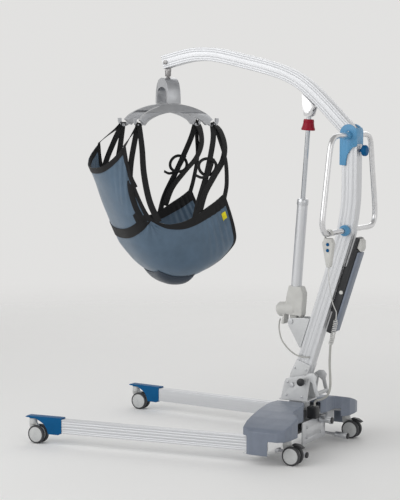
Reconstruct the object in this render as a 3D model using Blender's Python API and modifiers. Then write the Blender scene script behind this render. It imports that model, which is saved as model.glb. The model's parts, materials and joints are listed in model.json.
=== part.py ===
"""Patient lift hoist: curved column, powered boom, folding foot, spreading legs and a sling.

Metres, +Z up, -X forward (towards the toes of the legs), -Y is the operator's left.
The drawing frame has X = 0 just behind the rear castor swivels; SHIFT_X centres the finished part.
"""
import math

import bmesh
import bpy
from mathutils import Matrix, Vector

# ---------------------------------------------------------------- driving dimensions
SHIFT_X = 0.50775
GAP = 0.0003

MAST_DEPTH = 0.068
MAST_WIDTH = 0.056
MAST_PATH = [(-0.1150, 0.262), (0.0806, 0.870), (0.1010, 0.955), (0.1135, 1.035), (0.1180, 1.110), (0.1180, 1.300)]

BOOM_PIVOT = (0.115, 1.345)
BOOM_HEIGHT = 0.058
BOOM_WIDTH = 0.048
BOOM_PATH = [(-0.768, 1.640), (-0.667, 1.664), (-0.618, 1.672), (-0.569, 1.674), (-0.520, 1.671),
             (-0.461, 1.661), (-0.342, 1.634), (-0.271, 1.617), (-0.195, 1.594), (-0.130, 1.565),
             (-0.085, 1.535), (-0.040, 1.497), (0.006, 1.454), (0.050, 1.410), (0.115, 1.345)]

RAM_FOOT = (-0.140, 0.548)
RAM_EYE = (-0.076, 1.429)
RAM_TUBE_R = 0.0225
RAM_ROD_R = 0.010

FOLD_PIN = (-0.125, 0.280)
LOCK_ROD = (-0.072, 0.299)

LEG_PIVOT = (-0.110, 0.338)
LEG_TOE = (-1.172, 0.441)
LEG_HEIGHT = 0.060
LEG_WIDTH = 0.038
LEG_MID_Z = 0.082

CASTOR_R = 0.040
CASTOR_TRAIL = 0.026
WHEEL_THICK = 0.016
REAR_CASTOR_X = -0.024
REAR_CASTOR_Y = 0.307

HANGER_PIN = (-0.752, 1.640)
SPREADER_YAW = math.radians(50.0)
SPREADER_LENGTH = 0.310
SPREADER_GAP = 0.136
SPREADER_TOP = 1.462

# ---------------------------------------------------------------- scene set-up
for old in list(bpy.data.objects):
    bpy.data.objects.remove(old, do_unlink=True)

part_collection = bpy.data.collections.new("patient_lift_hoist")
bpy.context.scene.collection.children.link(part_collection)

MATERIALS = {}


def material(name, colour, roughness, metallic):
    """Return the named Principled material, making it once."""
    if name in MATERIALS:
        return MATERIALS[name]
    mat = bpy.data.materials.new(name)
    mat.use_nodes = True
    shader = mat.node_tree.nodes["Principled BSDF"]
    shader.inputs["Base Color"].default_value = (colour[0], colour[1], colour[2], 1.0)
    shader.inputs["Roughness"].default_value = roughness
    shader.inputs["Metallic"].default_value = metallic
    MATERIALS[name] = mat
    return mat


ANODISED = material("anodised_aluminium", (0.78, 0.79, 0.81), 0.38, 0.85)
STEEL = material("brushed_steel", (0.62, 0.63, 0.65), 0.35, 0.9)
CHROME = material("chrome", (0.85, 0.86, 0.88), 0.12, 1.0)
BRACKET_GREY = material("bracket_grey", (0.55, 0.56, 0.58), 0.45, 0.3)
BLUE = material("blue_plastic", (0.02, 0.12, 0.42), 0.35, 0.0)
HEAD_BLUE = material("light_blue_plastic", (0.08, 0.33, 0.60), 0.35, 0.0)
SLATE = material("slate_plastic", (0.17, 0.20, 0.26), 0.5, 0.0)
LIGHT_PLASTIC = material("light_grey_plastic", (0.62, 0.63, 0.62), 0.5, 0.0)
BLACK = material("black_plastic", (0.015, 0.015, 0.017), 0.45, 0.0)
RUBBER = material("tyre_rubber", (0.03, 0.03, 0.033), 0.8, 0.0)
RED = material("red_plastic", (0.60, 0.02, 0.02), 0.4, 0.0)
CABLE = material("cable_grey", (0.30, 0.31, 0.30), 0.6, 0.0)
CAST = material("cast_grey", (0.52, 0.53, 0.55), 0.42, 0.6)
FABRIC = material("sling_fabric", (0.09, 0.15, 0.21), 0.9, 0.0)
WEBBING = material("black_webbing", (0.01, 0.01, 0.011), 0.85, 0.0)


# ---------------------------------------------------------------- helpers
def finish(name, mesh, mat, origin=None):
    """Link a mesh as a named object, with its origin on the given joint axis."""
    if origin is not None:
        mesh.transform(Matrix.Translation(-Vector(origin)))
    obj = bpy.data.objects.new(name, mesh)
    if origin is not None:
        obj.location = Vector(origin)
    part_collection.objects.link(obj)
    obj.data.materials.clear()
    obj.data.materials.append(mat)
    return obj


def mesh_from(bm, name):
    """Turn a bmesh into a mesh with outward normals."""
    bmesh.ops.recalc_face_normals(bm, faces=bm.faces[:])
    mesh = bpy.data.meshes.new(name)
    bm.to_mesh(mesh)
    bm.free()
    return mesh


def mesh_box(size, centre, turn=None):
    """Mesh of a box with the given size, centred at centre."""
    bm = bmesh.new()
    bmesh.ops.create_cube(bm, size=1.0)
    bmesh.ops.scale(bm, vec=size, verts=bm.verts[:])
    if turn is not None:
        bmesh.ops.transform(bm, matrix=turn, verts=bm.verts[:])
    bmesh.ops.translate(bm, vec=centre, verts=bm.verts[:])
    return mesh_from(bm, "box")


def mesh_rod(start, end, radius, end_radius=None, segments=18):
    """Mesh of a round bar from start to end."""
    start = Vector(start)
    end = Vector(end)
    along = end - start
    bm = bmesh.new()
    far = radius if end_radius is None else end_radius
    bmesh.ops.create_cone(bm, cap_ends=True, segments=segments, radius1=radius, radius2=far, depth=along.length)
    turn = along.to_track_quat("Z", "Y").to_matrix().to_4x4()
    turn.translation = (start + end) / 2
    bmesh.ops.transform(bm, matrix=turn, verts=bm.verts[:])
    return mesh_from(bm, "rod")


def mesh_turned(profile, start, end, segments=20):
    """Mesh of (radius, distance) points turned about the line from start to end."""
    start = Vector(start)
    along = Vector(end) - start
    turn = along.to_track_quat("Z", "Y").to_matrix().to_4x4()
    turn.translation = start
    bm = bmesh.new()
    rings = []
    for radius, distance in profile:
        ring = []
        for step in range(segments):
            angle = 2.0 * math.pi * step / segments
            ring.append(bm.verts.new((radius * math.cos(angle), radius * math.sin(angle), distance)))
        rings.append(ring)
    for lower, upper in zip(rings, rings[1:]):
        for step in range(segments):
            after = (step + 1) % segments
            bm.faces.new((lower[step], lower[after], upper[after], upper[step]))
    bm.faces.new(rings[0][::-1])
    bm.faces.new(rings[-1])
    bmesh.ops.transform(bm, matrix=turn, verts=bm.verts[:])
    return mesh_from(bm, "turned")


def curve_mesh(curve):
    """Evaluate a curve to a clean mesh and drop the curve."""
    holder = bpy.data.objects.new("curve_tmp", curve)
    bpy.context.scene.collection.objects.link(holder)
    depsgraph = bpy.context.evaluated_depsgraph_get()
    mesh = bpy.data.meshes.new_from_object(holder.evaluated_get(depsgraph))
    bpy.data.objects.remove(holder, do_unlink=True)
    bm = bmesh.new()
    bm.from_mesh(mesh)
    bmesh.ops.remove_doubles(bm, verts=bm.verts[:], dist=1e-6)
    return mesh_from(bm, "curve_mesh")


def mesh_plate(outline, thickness, plane="XZ", centre=0.0, holes=()):
    """Mesh of a flat outline extruded to thickness; holes are (a, b, radius) or point lists."""
    curve = bpy.data.curves.new("plate", "CURVE")
    curve.dimensions = "2D"
    curve.fill_mode = "BOTH"
    curve.extrude = thickness / 2.0
    loops = [list(outline)]
    for hole in holes:
        if len(hole) == 3 and not isinstance(hole[0], tuple):
            turn = [2.0 * math.pi * step / 20 for step in range(20)]
            loops.append([(hole[0] + hole[2] * math.cos(a), hole[1] + hole[2] * math.sin(a)) for a in turn])
        else:
            loops.append(list(hole))
    for loop in loops:
        spline = curve.splines.new("POLY")
        spline.points.add(len(loop) - 1)
        for point, (a, b) in zip(spline.points, loop):
            point.co = (a, b, 0.0, 1.0)
        spline.use_cyclic_u = True
    mesh = curve_mesh(curve)
    if plane == "XZ":
        mesh.transform(Matrix.Translation((0.0, centre, 0.0)) @ Matrix.Rotation(math.pi / 2, 4, "X"))
    elif plane == "YZ":
        turn = Matrix(((0, 0, 1, centre), (1, 0, 0, 0), (0, 1, 0, 0), (0, 0, 0, 1)))
        mesh.transform(turn)
    else:
        mesh.transform(Matrix.Translation((0.0, 0.0, centre)))
    return mesh


def smooth(points, steps=6):
    """Catmull-Rom points through the given points, any dimension."""
    vectors = [Vector(p) for p in points]
    ends = [vectors[0] * 2 - vectors[1]] + vectors + [vectors[-1] * 2 - vectors[-2]]
    result = []
    for i in range(1, len(ends) - 2):
        a, b, c, d = ends[i - 1:i + 3]
        for k in range(steps):
            t = k / steps
            result.append(0.5 * ((2 * b) + (c - a) * t + (2 * a - 5 * b + 4 * c - d) * t * t
                                 + (3 * b - a - 3 * c + d) * t * t * t))
    result.append(ends[-2])
    return result


def mesh_tube(points, radius, resolution=2, steps=4):
    """Mesh of a round tube or wire along a smooth curve through points."""
    path = smooth(points, steps)
    curve = bpy.data.curves.new("tube", "CURVE")
    curve.dimensions = "3D"
    curve.bevel_depth = radius
    curve.bevel_resolution = resolution
    curve.use_fill_caps = True
    spline = curve.splines.new("POLY")
    spline.points.add(len(path) - 1)
    for point, place in zip(spline.points, path):
        point.co = (place.x, place.y, place.z, 1.0)
    return curve_mesh(curve)


def ribbon(path, half, steps=3):
    """Closed outline that follows a 2D path at a distance half on both sides."""
    line = smooth([(a, b) for a, b in path], steps)
    left = []
    right = []
    for i, place in enumerate(line):
        ahead = line[min(i + 1, len(line) - 1)]
        behind = line[max(i - 1, 0)]
        along = (ahead - behind).normalized()
        left.append((place.x - along.y * half, place.y + along.x * half))
        right.append((place.x + along.y * half, place.y - along.x * half))
    return left + right[::-1]


def arc(cx, cz, radius, start, stop, steps=8):
    """Points on a circle from start to stop degrees."""
    turn = [math.radians(start + (stop - start) * k / steps) for k in range(steps + 1)]
    return [(cx + radius * math.cos(a), cz + radius * math.sin(a)) for a in turn]


def merged(meshes):
    """One mesh that holds several separate solids."""
    bm = bmesh.new()
    for mesh in meshes:
        bm.from_mesh(mesh)
    return mesh_from(bm, "merged")


def boolean(mesh, other, operation):
    """EXACT Boolean of two meshes."""
    target = bpy.data.objects.new("target_tmp", mesh)
    cutter = bpy.data.objects.new("cutter_tmp", other)
    for obj in (target, cutter):
        bpy.context.scene.collection.objects.link(obj)
    step = target.modifiers.new("boolean", "BOOLEAN")
    step.operation = operation
    step.solver = "EXACT"
    step.object = cutter
    depsgraph = bpy.context.evaluated_depsgraph_get()
    result = bpy.data.meshes.new_from_object(target.evaluated_get(depsgraph))
    for obj in (target, cutter):
        bpy.data.objects.remove(obj, do_unlink=True)
    return result


def cut(mesh, *others):
    """Take each other mesh away from mesh."""
    for other in others:
        mesh = boolean(mesh, other, "DIFFERENCE")
    return mesh


def join(mesh, *others):
    """Fuse the other meshes with mesh."""
    for other in others:
        mesh = boolean(mesh, other, "UNION")
    return mesh


def rounded(mesh, width, segments=2, angle=35.0):
    """Bevel the sharp edges of a mesh."""
    target = bpy.data.objects.new("bevel_tmp", mesh)
    bpy.context.scene.collection.objects.link(target)
    step = target.modifiers.new("bevel", "BEVEL")
    step.width = width
    step.segments = segments
    step.limit_method = "ANGLE"
    step.angle_limit = math.radians(angle)
    step.use_clamp_overlap = True
    depsgraph = bpy.context.evaluated_depsgraph_get()
    result = bpy.data.meshes.new_from_object(target.evaluated_get(depsgraph))
    bpy.data.objects.remove(target, do_unlink=True)
    return result


def both_sides(name_left, name_right, make, mat, origin=None):
    """Build a piece on the left (-Y) and its mirror image on the right (+Y)."""
    left = make()
    right = left.copy()
    right.transform(Matrix.Scale(-1.0, 4, (0.0, 1.0, 0.0)))
    right.flip_normals()
    finish(name_left, left, mat, origin)
    mirrored = None if origin is None else (origin[0], -origin[1], origin[2])
    finish(name_right, right, mat, mirrored)


# ---------------------------------------------------------------- base
beam = mesh_box((0.070, 0.560, 0.050), (-0.110, 0.0, 0.150))
beam = join(beam, mesh_box((0.075, 0.060, 0.012), (-0.055, -REAR_CASTOR_Y + 0.020, 0.131)))
beam = join(beam, mesh_box((0.075, 0.060, 0.012), (-0.055, REAR_CASTOR_Y - 0.020, 0.131)))
beam = join(beam, mesh_box((0.060, 0.060, 0.012), (REAR_CASTOR_X - 0.004, -REAR_CASTOR_Y, 0.131)))
beam = join(beam, mesh_box((0.060, 0.060, 0.012), (REAR_CASTOR_X - 0.004, REAR_CASTOR_Y, 0.131)))
beam = join(beam, mesh_box((0.070, 0.110, 0.012), (-0.110, -0.320, 0.131)))
beam = join(beam, mesh_box((0.070, 0.110, 0.012), (-0.110, 0.320, 0.131)))
for side in (-1.0, 1.0):
    spigot = mesh_turned([(0.011, 0.000), (0.011, 0.003), (0.0079, 0.003), (0.0079, 0.090)],
                         (LEG_PIVOT[0], side * LEG_PIVOT[1], 0.046), (LEG_PIVOT[0], side * LEG_PIVOT[1], 0.200), 20)
    beam = join(beam, spigot)
    beam = cut(beam, mesh_rod((REAR_CASTOR_X, side * REAR_CASTOR_Y, 0.100),
                              (REAR_CASTOR_X, side * REAR_CASTOR_Y, 0.150), 0.0062, segments=20))
finish("base_crossbeam", beam, STEEL)

plate = mesh_plate([(-0.117, 0.040), (0.117, 0.040), (0.117, 0.136), (-0.117, 0.136)], 0.004, "YZ", -0.0440,
                   [(-0.070, 0.108, 0.004), (0.070, 0.108, 0.004), (-0.070, 0.065, 0.004), (0.070, 0.065, 0.004)])
flange = mesh_box((0.0285, 0.200, 0.004), (-0.0595, 0.0, 0.134))
finish("rear_plate", join(plate, flange), BRACKET_GREY)

finish("leg_drive_motor", join(mesh_rod((-0.110, -0.110, 0.092), (-0.110, 0.060, 0.092), 0.026),
                               mesh_rod((-0.110, 0.040, 0.092), (-0.110, 0.150, 0.092), 0.012),
                               mesh_box((0.040, 0.060, 0.0125), (-0.110, -0.040, 0.1184))), BLACK)


def cover():
    """Moulded rear cover for the left side, open underneath and in front for the leg."""
    def plan(grow):
        return [(-0.198 - grow, -0.330), (-0.190 - grow, -0.378 - grow), (-0.150, -0.398 - grow),
                (-0.028, -0.398 - grow), (-0.001 + grow, -0.375 - grow), (0.007 + grow, -0.330),
                (0.007 + grow, -0.270 + grow), (-0.016, -0.232 + grow), (-0.040 + grow, -0.215),
                (-0.040 + grow, -0.120 + grow), (-0.060, -0.060 + grow), (-0.185 - grow, -0.060 + grow),
                (-0.198 - grow, -0.120)]

    def side_view(drop):
        top = [(-0.4200, 0.118), (-0.400, 0.140), (-0.378, 0.153), (-0.340, 0.166), (-0.290, 0.181),
               (-0.220, 0.197), (-0.140, 0.208), (-0.050, 0.212)]
        upper = [(y + drop if y < -0.39 else y, z - drop) for y, z in top]
        return [(-0.420 + drop, 0.020)] + upper + [(-0.050, 0.020)]

    outer = mesh_plate(plan(0.0), 0.300, "XY", 0.150)
    outer = boolean(outer, mesh_plate(side_view(0.0), 0.400, "YZ", -0.080), "INTERSECT")
    outer = cut(outer, mesh_box((0.500, 0.600, 0.080), (0.0, -0.200, 0.004)))
    outer = cut(outer, mesh_box((0.140, 0.300, 0.200), (0.0005, -0.370, 0.004)))
    inner = mesh_plate(plan(-0.0035), 0.300, "XY", 0.150)
    inner = boolean(inner, mesh_plate(side_view(0.0035), 0.400, "YZ", -0.080), "INTERSECT")
    shell = cut(outer, inner)
    shell = cut(shell, mesh_box((0.060, 0.106, 0.074), (-0.200, -0.342, 0.082)))
    shell = cut(shell, mesh_box((0.140, 0.070, 0.200), (-0.110, -0.052, 0.090)))
    shell = cut(shell, mesh_box((0.040, 0.190, 0.111), (-0.040, -0.150, 0.084)))
    return shell


both_sides("rear_cover_left", "rear_cover_right", cover, SLATE)

leg_way = Vector((LEG_TOE[0] - LEG_PIVOT[0], -(LEG_TOE[1] - LEG_PIVOT[1]), 0.0)).normalized()
leg_turn = Matrix.Rotation(math.atan2(leg_way.y, leg_way.x) - math.pi, 4, "Z")
leg_place = Matrix.Translation((LEG_PIVOT[0], -LEG_PIVOT[1], 0.0)) @ leg_turn
leg_length = math.hypot(LEG_TOE[0] - LEG_PIVOT[0], LEG_TOE[1] - LEG_PIVOT[1])


def leg():
    """Aluminium leg profile with lengthwise grooves on the outer face."""
    half = LEG_WIDTH / 2.0
    low = LEG_MID_Z - LEG_HEIGHT / 2.0
    high = LEG_MID_Z + LEG_HEIGHT / 2.0
    section = [(-half + 0.003, low), (half - 0.003, low), (half, low + 0.003), (half, high - 0.003),
               (half - 0.003, high), (-half + 0.003, high), (-half, high - 0.003), (-half, high - 0.008),
               (-half + 0.002, high - 0.010), (-half + 0.002, high - 0.013), (-half, high - 0.015),
               (-half, low + 0.030), (-half + 0.0015, low + 0.029), (-half + 0.0015, low + 0.026),
               (-half, low + 0.025), (-half, low + 0.015), (-half + 0.0015, low + 0.014),
               (-half + 0.0015, low + 0.011), (-half, low + 0.010), (-half, low + 0.003)]
    front = -leg_length + 0.1453
    rear = 0.0125
    bar = mesh_plate(section, rear - front, "YZ", (front + rear) / 2.0)
    for side in (-1.0, 1.0):
        taper = [(rear, side * 0.004), (-0.010, side * 0.0195), (-0.010, side * 0.030), (rear + 0.020, side * 0.030),
                 (rear + 0.020, side * 0.004)]
        bar = cut(bar, mesh_plate(taper, LEG_HEIGHT + 0.040, "XY", LEG_MID_Z))
    bar = cut(bar, mesh_rod((0.0, 0.0, 0.03), (0.0, 0.0, 0.14), 0.0082, segments=20))
    bar.transform(leg_place)
    return bar


both_sides("leg_left", "leg_right", leg, ANODISED, (LEG_PIVOT[0], -LEG_PIVOT[1], LEG_MID_Z))


def leg_cap():
    """Blue nose cap that carries the front castor: a top plate and a curved web."""
    toe = -leg_length
    web = [(toe + 0.145, 0.052), (toe + 0.145, 0.118), (toe - 0.022, 0.118), (toe - 0.028, 0.1155),
           (toe - 0.028, 0.1125), (toe + 0.020, 0.1085), (toe + 0.042, 0.098), (toe + 0.062, 0.085),
           (toe + 0.074, 0.066), (toe + 0.081, 0.044), (toe + 0.130, 0.044), (toe + 0.136, 0.052)]
    body = mesh_plate(web, 0.040, "XZ", 0.0)
    body = join(body, mesh_rod((toe, 0.0, 0.1073), (toe, 0.0, 0.1170), 0.018))
    body = cut(body, mesh_rod((toe, 0.0, 0.060), (toe, 0.0, 0.1145), 0.0062, segments=20))
    body.transform(leg_place)
    return body


both_sides("leg_cap_left", "leg_cap_right", leg_cap, BLUE)


# ---------------------------------------------------------------- castors
def castor(tag, x, y, top):
    """Twin-wheel castor with its swivel stem on (x, y) and its axle trailing rearwards."""
    axle = x + CASTOR_TRAIL
    web = [(x - 0.017, 0.0900), (x - 0.017, 0.072), (x - 0.008, 0.056), (axle - 0.010, 0.032), (axle + 0.008, 0.032),
           (axle + 0.012, 0.060), (x + 0.017, 0.0900)]
    hood = join(mesh_plate(web, 0.012, "XZ", y), mesh_rod((x, y, 0.0835), (x, y, 0.1065), 0.0180, 0.0165))
    hood = join(hood, mesh_rod((x, y, 0.095), (x, y, top), 0.0058, segments=20))
    hood = cut(hood, mesh_rod((axle, y - 0.05, CASTOR_R), (axle, y + 0.05, CASTOR_R), 0.0052, segments=16))
    finish("castor_fork_" + tag, hood, BLACK, (x, y, 0.080))
    near = 0.0085
    thick = WHEEL_THICK
    pair = mesh_rod((axle, y - near - 0.004, CASTOR_R), (axle, y + near + 0.004, CASTOR_R), 0.0048, segments=16)
    for side in (-1.0, 1.0):
        start = (axle, y + side * near, CASTOR_R)
        end = (axle, y + side * (near + thick), CASTOR_R)
        pair = join(pair, mesh_turned([(0.0380, 0.0), (CASTOR_R, 0.003), (CASTOR_R, thick - 0.003), (0.0380, thick),
                                       (0.0310, thick), (0.0290, thick - 0.003), (0.0100, thick - 0.003)],
                                      start, end, 24))
    finish("castor_wheels_" + tag, pair, RUBBER, (axle, y, CASTOR_R))


castor("front_left", LEG_TOE[0], -LEG_TOE[1], 0.1135)
castor("front_right", LEG_TOE[0], LEG_TOE[1], 0.1135)
castor("rear_left", REAR_CASTOR_X, -REAR_CASTOR_Y, 0.1340)
castor("rear_right", REAR_CASTOR_X, REAR_CASTOR_Y, 0.1340)

for tag, y in (("left", -REAR_CASTOR_Y), ("right", REAR_CASTOR_Y)):
    paddle = mesh_plate([(0.0270, 0.0840), (0.0300, 0.0900), (0.0560, 0.0880), (0.0760, 0.0760), (0.0740, 0.0720),
                         (0.0540, 0.0820), (0.0400, 0.0840)], 0.026, "XZ", y)
    paddle.transform(Matrix.Translation((REAR_CASTOR_X, 0.0, 0.0)))
    finish("brake_lever_" + tag, paddle, BLACK, (REAR_CASTOR_X + 0.0280, y, 0.0870))


# ---------------------------------------------------------------- pedals, push bar, cable entry
def pedal():
    """Foot pedal arm with a rubber end."""
    arm = mesh_rod((-0.108, -0.215, 0.034), (0.006, -0.215, 0.027), 0.0055)
    arm = join(arm, mesh_rod((0.000, -0.215, 0.0274), (0.026, -0.215, 0.0258), 0.009))
    arm = join(arm, mesh_rod((-0.108, -0.230, 0.034), (-0.108, -0.200, 0.034), 0.009))
    return arm


both_sides("foot_pedal_left", "foot_pedal_right", pedal, STEEL, (-0.108, -0.215, 0.034))

bar = mesh_rod((-0.0415, 0.060, 0.122), (0.014, 0.060, 0.122), 0.007)
bar = join(bar, mesh_rod((0.008, 0.060, 0.122), (0.018, 0.060, 0.122), 0.013, 0.012))
finish("push_bar", bar, CHROME)

gland = rounded(mesh_box((0.044, 0.040, 0.0515), (-0.046, 0.0, 0.1625)), 0.004, 2)
finish("cable_gland", gland, BLACK)

# ---------------------------------------------------------------- foot bracket and folding joint
cheek = [(-0.178, 0.2125), (-0.160, 0.292), (-0.152, 0.306), (-0.141, 0.309), (-0.070, 0.325), (-0.048, 0.318),
         (-0.042, 0.300), (-0.056, 0.2125)]
cheek_holes = [(FOLD_PIN[0], FOLD_PIN[1], 0.0063), (LOCK_ROD[0], LOCK_ROD[1], 0.0072)]
side_plates = [mesh_plate(cheek, 0.005, "XZ", y, cheek_holes) for y in (-0.0445, 0.0445)]
foot = join(mesh_box((0.132, 0.094, 0.006), (-0.117, 0.0, 0.2155)), side_plates[0], side_plates[1])
foot = join(foot, mesh_box((0.060, 0.080, 0.0370), (-0.110, 0.0, 0.1941)))
finish("foot_bracket", foot, BRACKET_GREY)

mast_dir = Vector((0.3062, 0.9519))
tongue = [(-0.150, 0.256), (-0.124, 0.243), (-0.080, 0.240), (-0.076, 0.262), (-0.062, 0.322), (-0.046, 0.366), (-0.110, 0.388),
          (-0.138, 0.330)]
tongue_holes = [(FOLD_PIN[0], FOLD_PIN[1], 0.0055)]
sweep = (arc(FOLD_PIN[0], FOLD_PIN[1], 0.0480, -85.0, 21.0, 10) + [(LOCK_ROD[0] - 0.006, LOCK_ROD[1] + 0.005),
         (LOCK_ROD[0] + 0.002, LOCK_ROD[1] + 0.0085)] + arc(FOLD_PIN[0], FOLD_PIN[1], 0.0800, 27.0, -85.0, 10))
ears = [mesh_plate(tongue, 0.005, "XZ", y, tongue_holes) for y in (-0.0312, 0.0312)]
sole = mesh_plate([(-0.146, 0.2590), (-0.122, 0.2470), (-0.084, 0.2420), (-0.086, 0.2480), (-0.118, 0.2540),
                   (-0.142, 0.2640)], 0.0640, "XZ", 0.0)
tongue_solid = cut(join(ears[0], ears[1], sole), mesh_plate(sweep, 0.2, "XZ", 0.0))
finish("mast_tongue", tongue_solid, BRACKET_GREY)

fold_pin = mesh_turned([(0.0100, 0.0), (0.0100, 0.004), (0.0052, 0.004), (0.0052, 0.104)],
                       (FOLD_PIN[0], -0.052, FOLD_PIN[1]), (FOLD_PIN[0], 0.1, FOLD_PIN[1]), 20)
finish("fold_pin", fold_pin, STEEL, (FOLD_PIN[0], 0.0, FOLD_PIN[1]))

lock_rod = mesh_rod((LOCK_ROD[0], -0.070, LOCK_ROD[1]), (LOCK_ROD[0], 0.070, LOCK_ROD[1]), 0.0068, segments=20)
for side in (-1.0, 1.0):
    grip = mesh_turned([(0.011, 0.0), (0.0155, 0.003), (0.0165, 0.010), (0.0155, 0.017), (0.010, 0.020)],
                       (LOCK_ROD[0], side * 0.064, LOCK_ROD[1]), (LOCK_ROD[0], side * 0.1, LOCK_ROD[1]), 24)
    lock_rod = join(lock_rod, grip)
finish("lock_rod", lock_rod, BLACK, (LOCK_ROD[0], 0.0, LOCK_ROD[1]))

lever = [(-0.064, 0.322), (-0.044, 0.336), (-0.022, 0.338), (-0.008, 0.322), (-0.012, 0.300), (-0.004, 0.266),
         (0.004, 0.244), (-0.006, 0.238), (-0.020, 0.262), (-0.028, 0.294), (-0.050, 0.312), (-0.056, 0.296),
         (-0.060, 0.286), (-0.076, 0.282), (-0.086, 0.300), (-0.080, 0.316)]
arms = [mesh_plate(lever, 0.004, "XZ", y, [(LOCK_ROD[0], LOCK_ROD[1], 0.0074)]) for y in (-0.0510, 0.0510)]
rung = mesh_box((0.008, 0.104, 0.016), (-0.007, 0.0, 0.2520), Matrix.Rotation(math.radians(22), 4, "Y"))
finish("lock_lever", join(rung, arms[0], arms[1]), BRACKET_GREY, (LOCK_ROD[0], 0.0, LOCK_ROD[1]))

# ---------------------------------------------------------------- column
column = mesh_plate(ribbon(MAST_PATH, MAST_DEPTH / 2.0, 3), MAST_WIDTH, "XZ", 0.0)
column = rounded(column, 0.005, 2, 60.0)
lock_notch = mesh_plate(sweep, 0.2, "XZ", 0.0)
fold_bore = mesh_rod((FOLD_PIN[0], -0.05, FOLD_PIN[1]), (FOLD_PIN[0], 0.05, FOLD_PIN[1]), 0.0055, segments=20)
boss_bore = mesh_rod((0.104, -0.05, 0.943), (0.104, 0.05, 0.943), 0.0083, segments=20)
finish("mast", cut(column, lock_notch, fold_bore, boss_bore), ANODISED, (FOLD_PIN[0], 0.0, FOLD_PIN[1]))

head_side = ([(0.0775, 1.214), (0.1035, 1.212), (0.1050, 1.232), (0.1105, 1.254), (0.1210, 1.274), (0.1350, 1.287),
              (0.1530, 1.293), (0.1530, 1.352), (0.148, 1.368)] + arc(0.115, 1.345, 0.037, 35.0, 185.0, 10) + [(0.0775, 1.322)])
head = mesh_plate(head_side, 0.072, "XZ", 0.0)
head = rounded(head, 0.003, 2, 50.0)
head = cut(head, mesh_box((0.110, BOOM_WIDTH + 0.006, 0.180), (0.085, 0.0, 1.345)))
head = cut(head, mesh_box((0.060, BOOM_WIDTH + 0.006, 0.150), (0.115, 0.0, 1.378)))
head = cut(head, mesh_rod((0.115, -0.06, 1.345), (0.115, 0.06, 1.345), 0.0086, segments=20))
head = cut(head, mesh_box((0.0863, MAST_WIDTH + 0.0006, 0.0963), (0.12685, 0.0, 1.25235)))
finish("mast_head", head, HEAD_BLUE)

knob = mesh_turned([(0.006, 0.0), (0.006, 0.011), (0.018, 0.012), (0.023, 0.017), (0.023, 0.029), (0.018, 0.034)],
                   (0.1523, 0.0, 1.274), (0.300, 0.0, 1.274), 24)
finish("head_knob", knob, BLUE, (0.1523, 0.0, 1.274))


def handle():
    """Bent grab tube from the column head to the lower boss, left side."""
    path = [(0.118, -0.0365, 1.336), (0.118, -0.100, 1.337), (0.117, -0.150, 1.337), (0.116, -0.186, 1.328),
            (0.115, -0.208, 1.306), (0.114, -0.219, 1.276), (0.113, -0.232, 1.215), (0.112, -0.262, 1.080),
            (0.111, -0.276, 1.010), (0.110, -0.274, 0.976), (0.109, -0.256, 0.952), (0.107, -0.226, 0.943),
            (0.104, -0.150, 0.943), (0.104, -0.100, 0.943), (0.104, -0.0535, 0.943)]
    return mesh_tube(path, 0.0115, 2, 3)


both_sides("handle_left", "handle_right", handle, ANODISED)

boss = mesh_rod((0.104, -0.0400, 0.943), (0.104, 0.0400, 0.943), 0.0080, segments=20)
for side in (-1.0, 1.0):
    boss = join(boss, mesh_turned([(0.023, 0.0), (0.023, 0.012), (0.019, 0.0165), (0.0150, 0.022), (0.0150, 0.0335)],
                                  (0.104, side * (MAST_WIDTH / 2 + GAP), 0.943), (0.104, side * 0.2, 0.943), 24))
    boss = cut(boss, mesh_rod((0.104, side * 0.0527, 0.943), (0.104, side * 0.09, 0.943), 0.0124, segments=20))
finish("handle_boss", boss, BLUE)

# ---------------------------------------------------------------- boom
pivot3 = (BOOM_PIVOT[0], 0.0, BOOM_PIVOT[1])
boom = mesh_plate(ribbon(BOOM_PATH, BOOM_HEIGHT / 2.0, 2), BOOM_WIDTH, "XZ", 0.0)
boom = join(boom, mesh_rod((BOOM_PIVOT[0], -BOOM_WIDTH / 2, BOOM_PIVOT[1]),
                           (BOOM_PIVOT[0], BOOM_WIDTH / 2, BOOM_PIVOT[1]), BOOM_HEIGHT / 2.0, segments=32))
boom = cut(boom, mesh_box((0.060, 0.018, 0.090), (HANGER_PIN[0] + 0.004, 0.0, HANGER_PIN[1] - 0.008)))
boom = cut(boom, mesh_rod((BOOM_PIVOT[0], -0.05, BOOM_PIVOT[1]), (BOOM_PIVOT[0], 0.05, BOOM_PIVOT[1]), 0.0086,
                          segments=20))
boom = cut(boom, mesh_rod((HANGER_PIN[0], -0.05, HANGER_PIN[1]), (HANGER_PIN[0], 0.05, HANGER_PIN[1]), 0.0058,
                          segments=20))
finish("boom", boom, ANODISED, pivot3)

boom_pin = mesh_rod((BOOM_PIVOT[0], -0.0350, BOOM_PIVOT[1]), (BOOM_PIVOT[0], 0.0350, BOOM_PIVOT[1]), 0.0083)
finish("boom_pivot_pin", boom_pin, STEEL, pivot3)
foot_pin = mesh_turned([(0.0105, 0.0), (0.0105, 0.004), (0.0058, 0.0042), (0.0058, 0.070)],
                       (RAM_FOOT[0], -0.0353, RAM_FOOT[1]), (RAM_FOOT[0], 0.2, RAM_FOOT[1]), 20)
finish("actuator_foot_pin", foot_pin, STEEL, (RAM_FOOT[0], 0.0, RAM_FOOT[1]))

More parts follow.
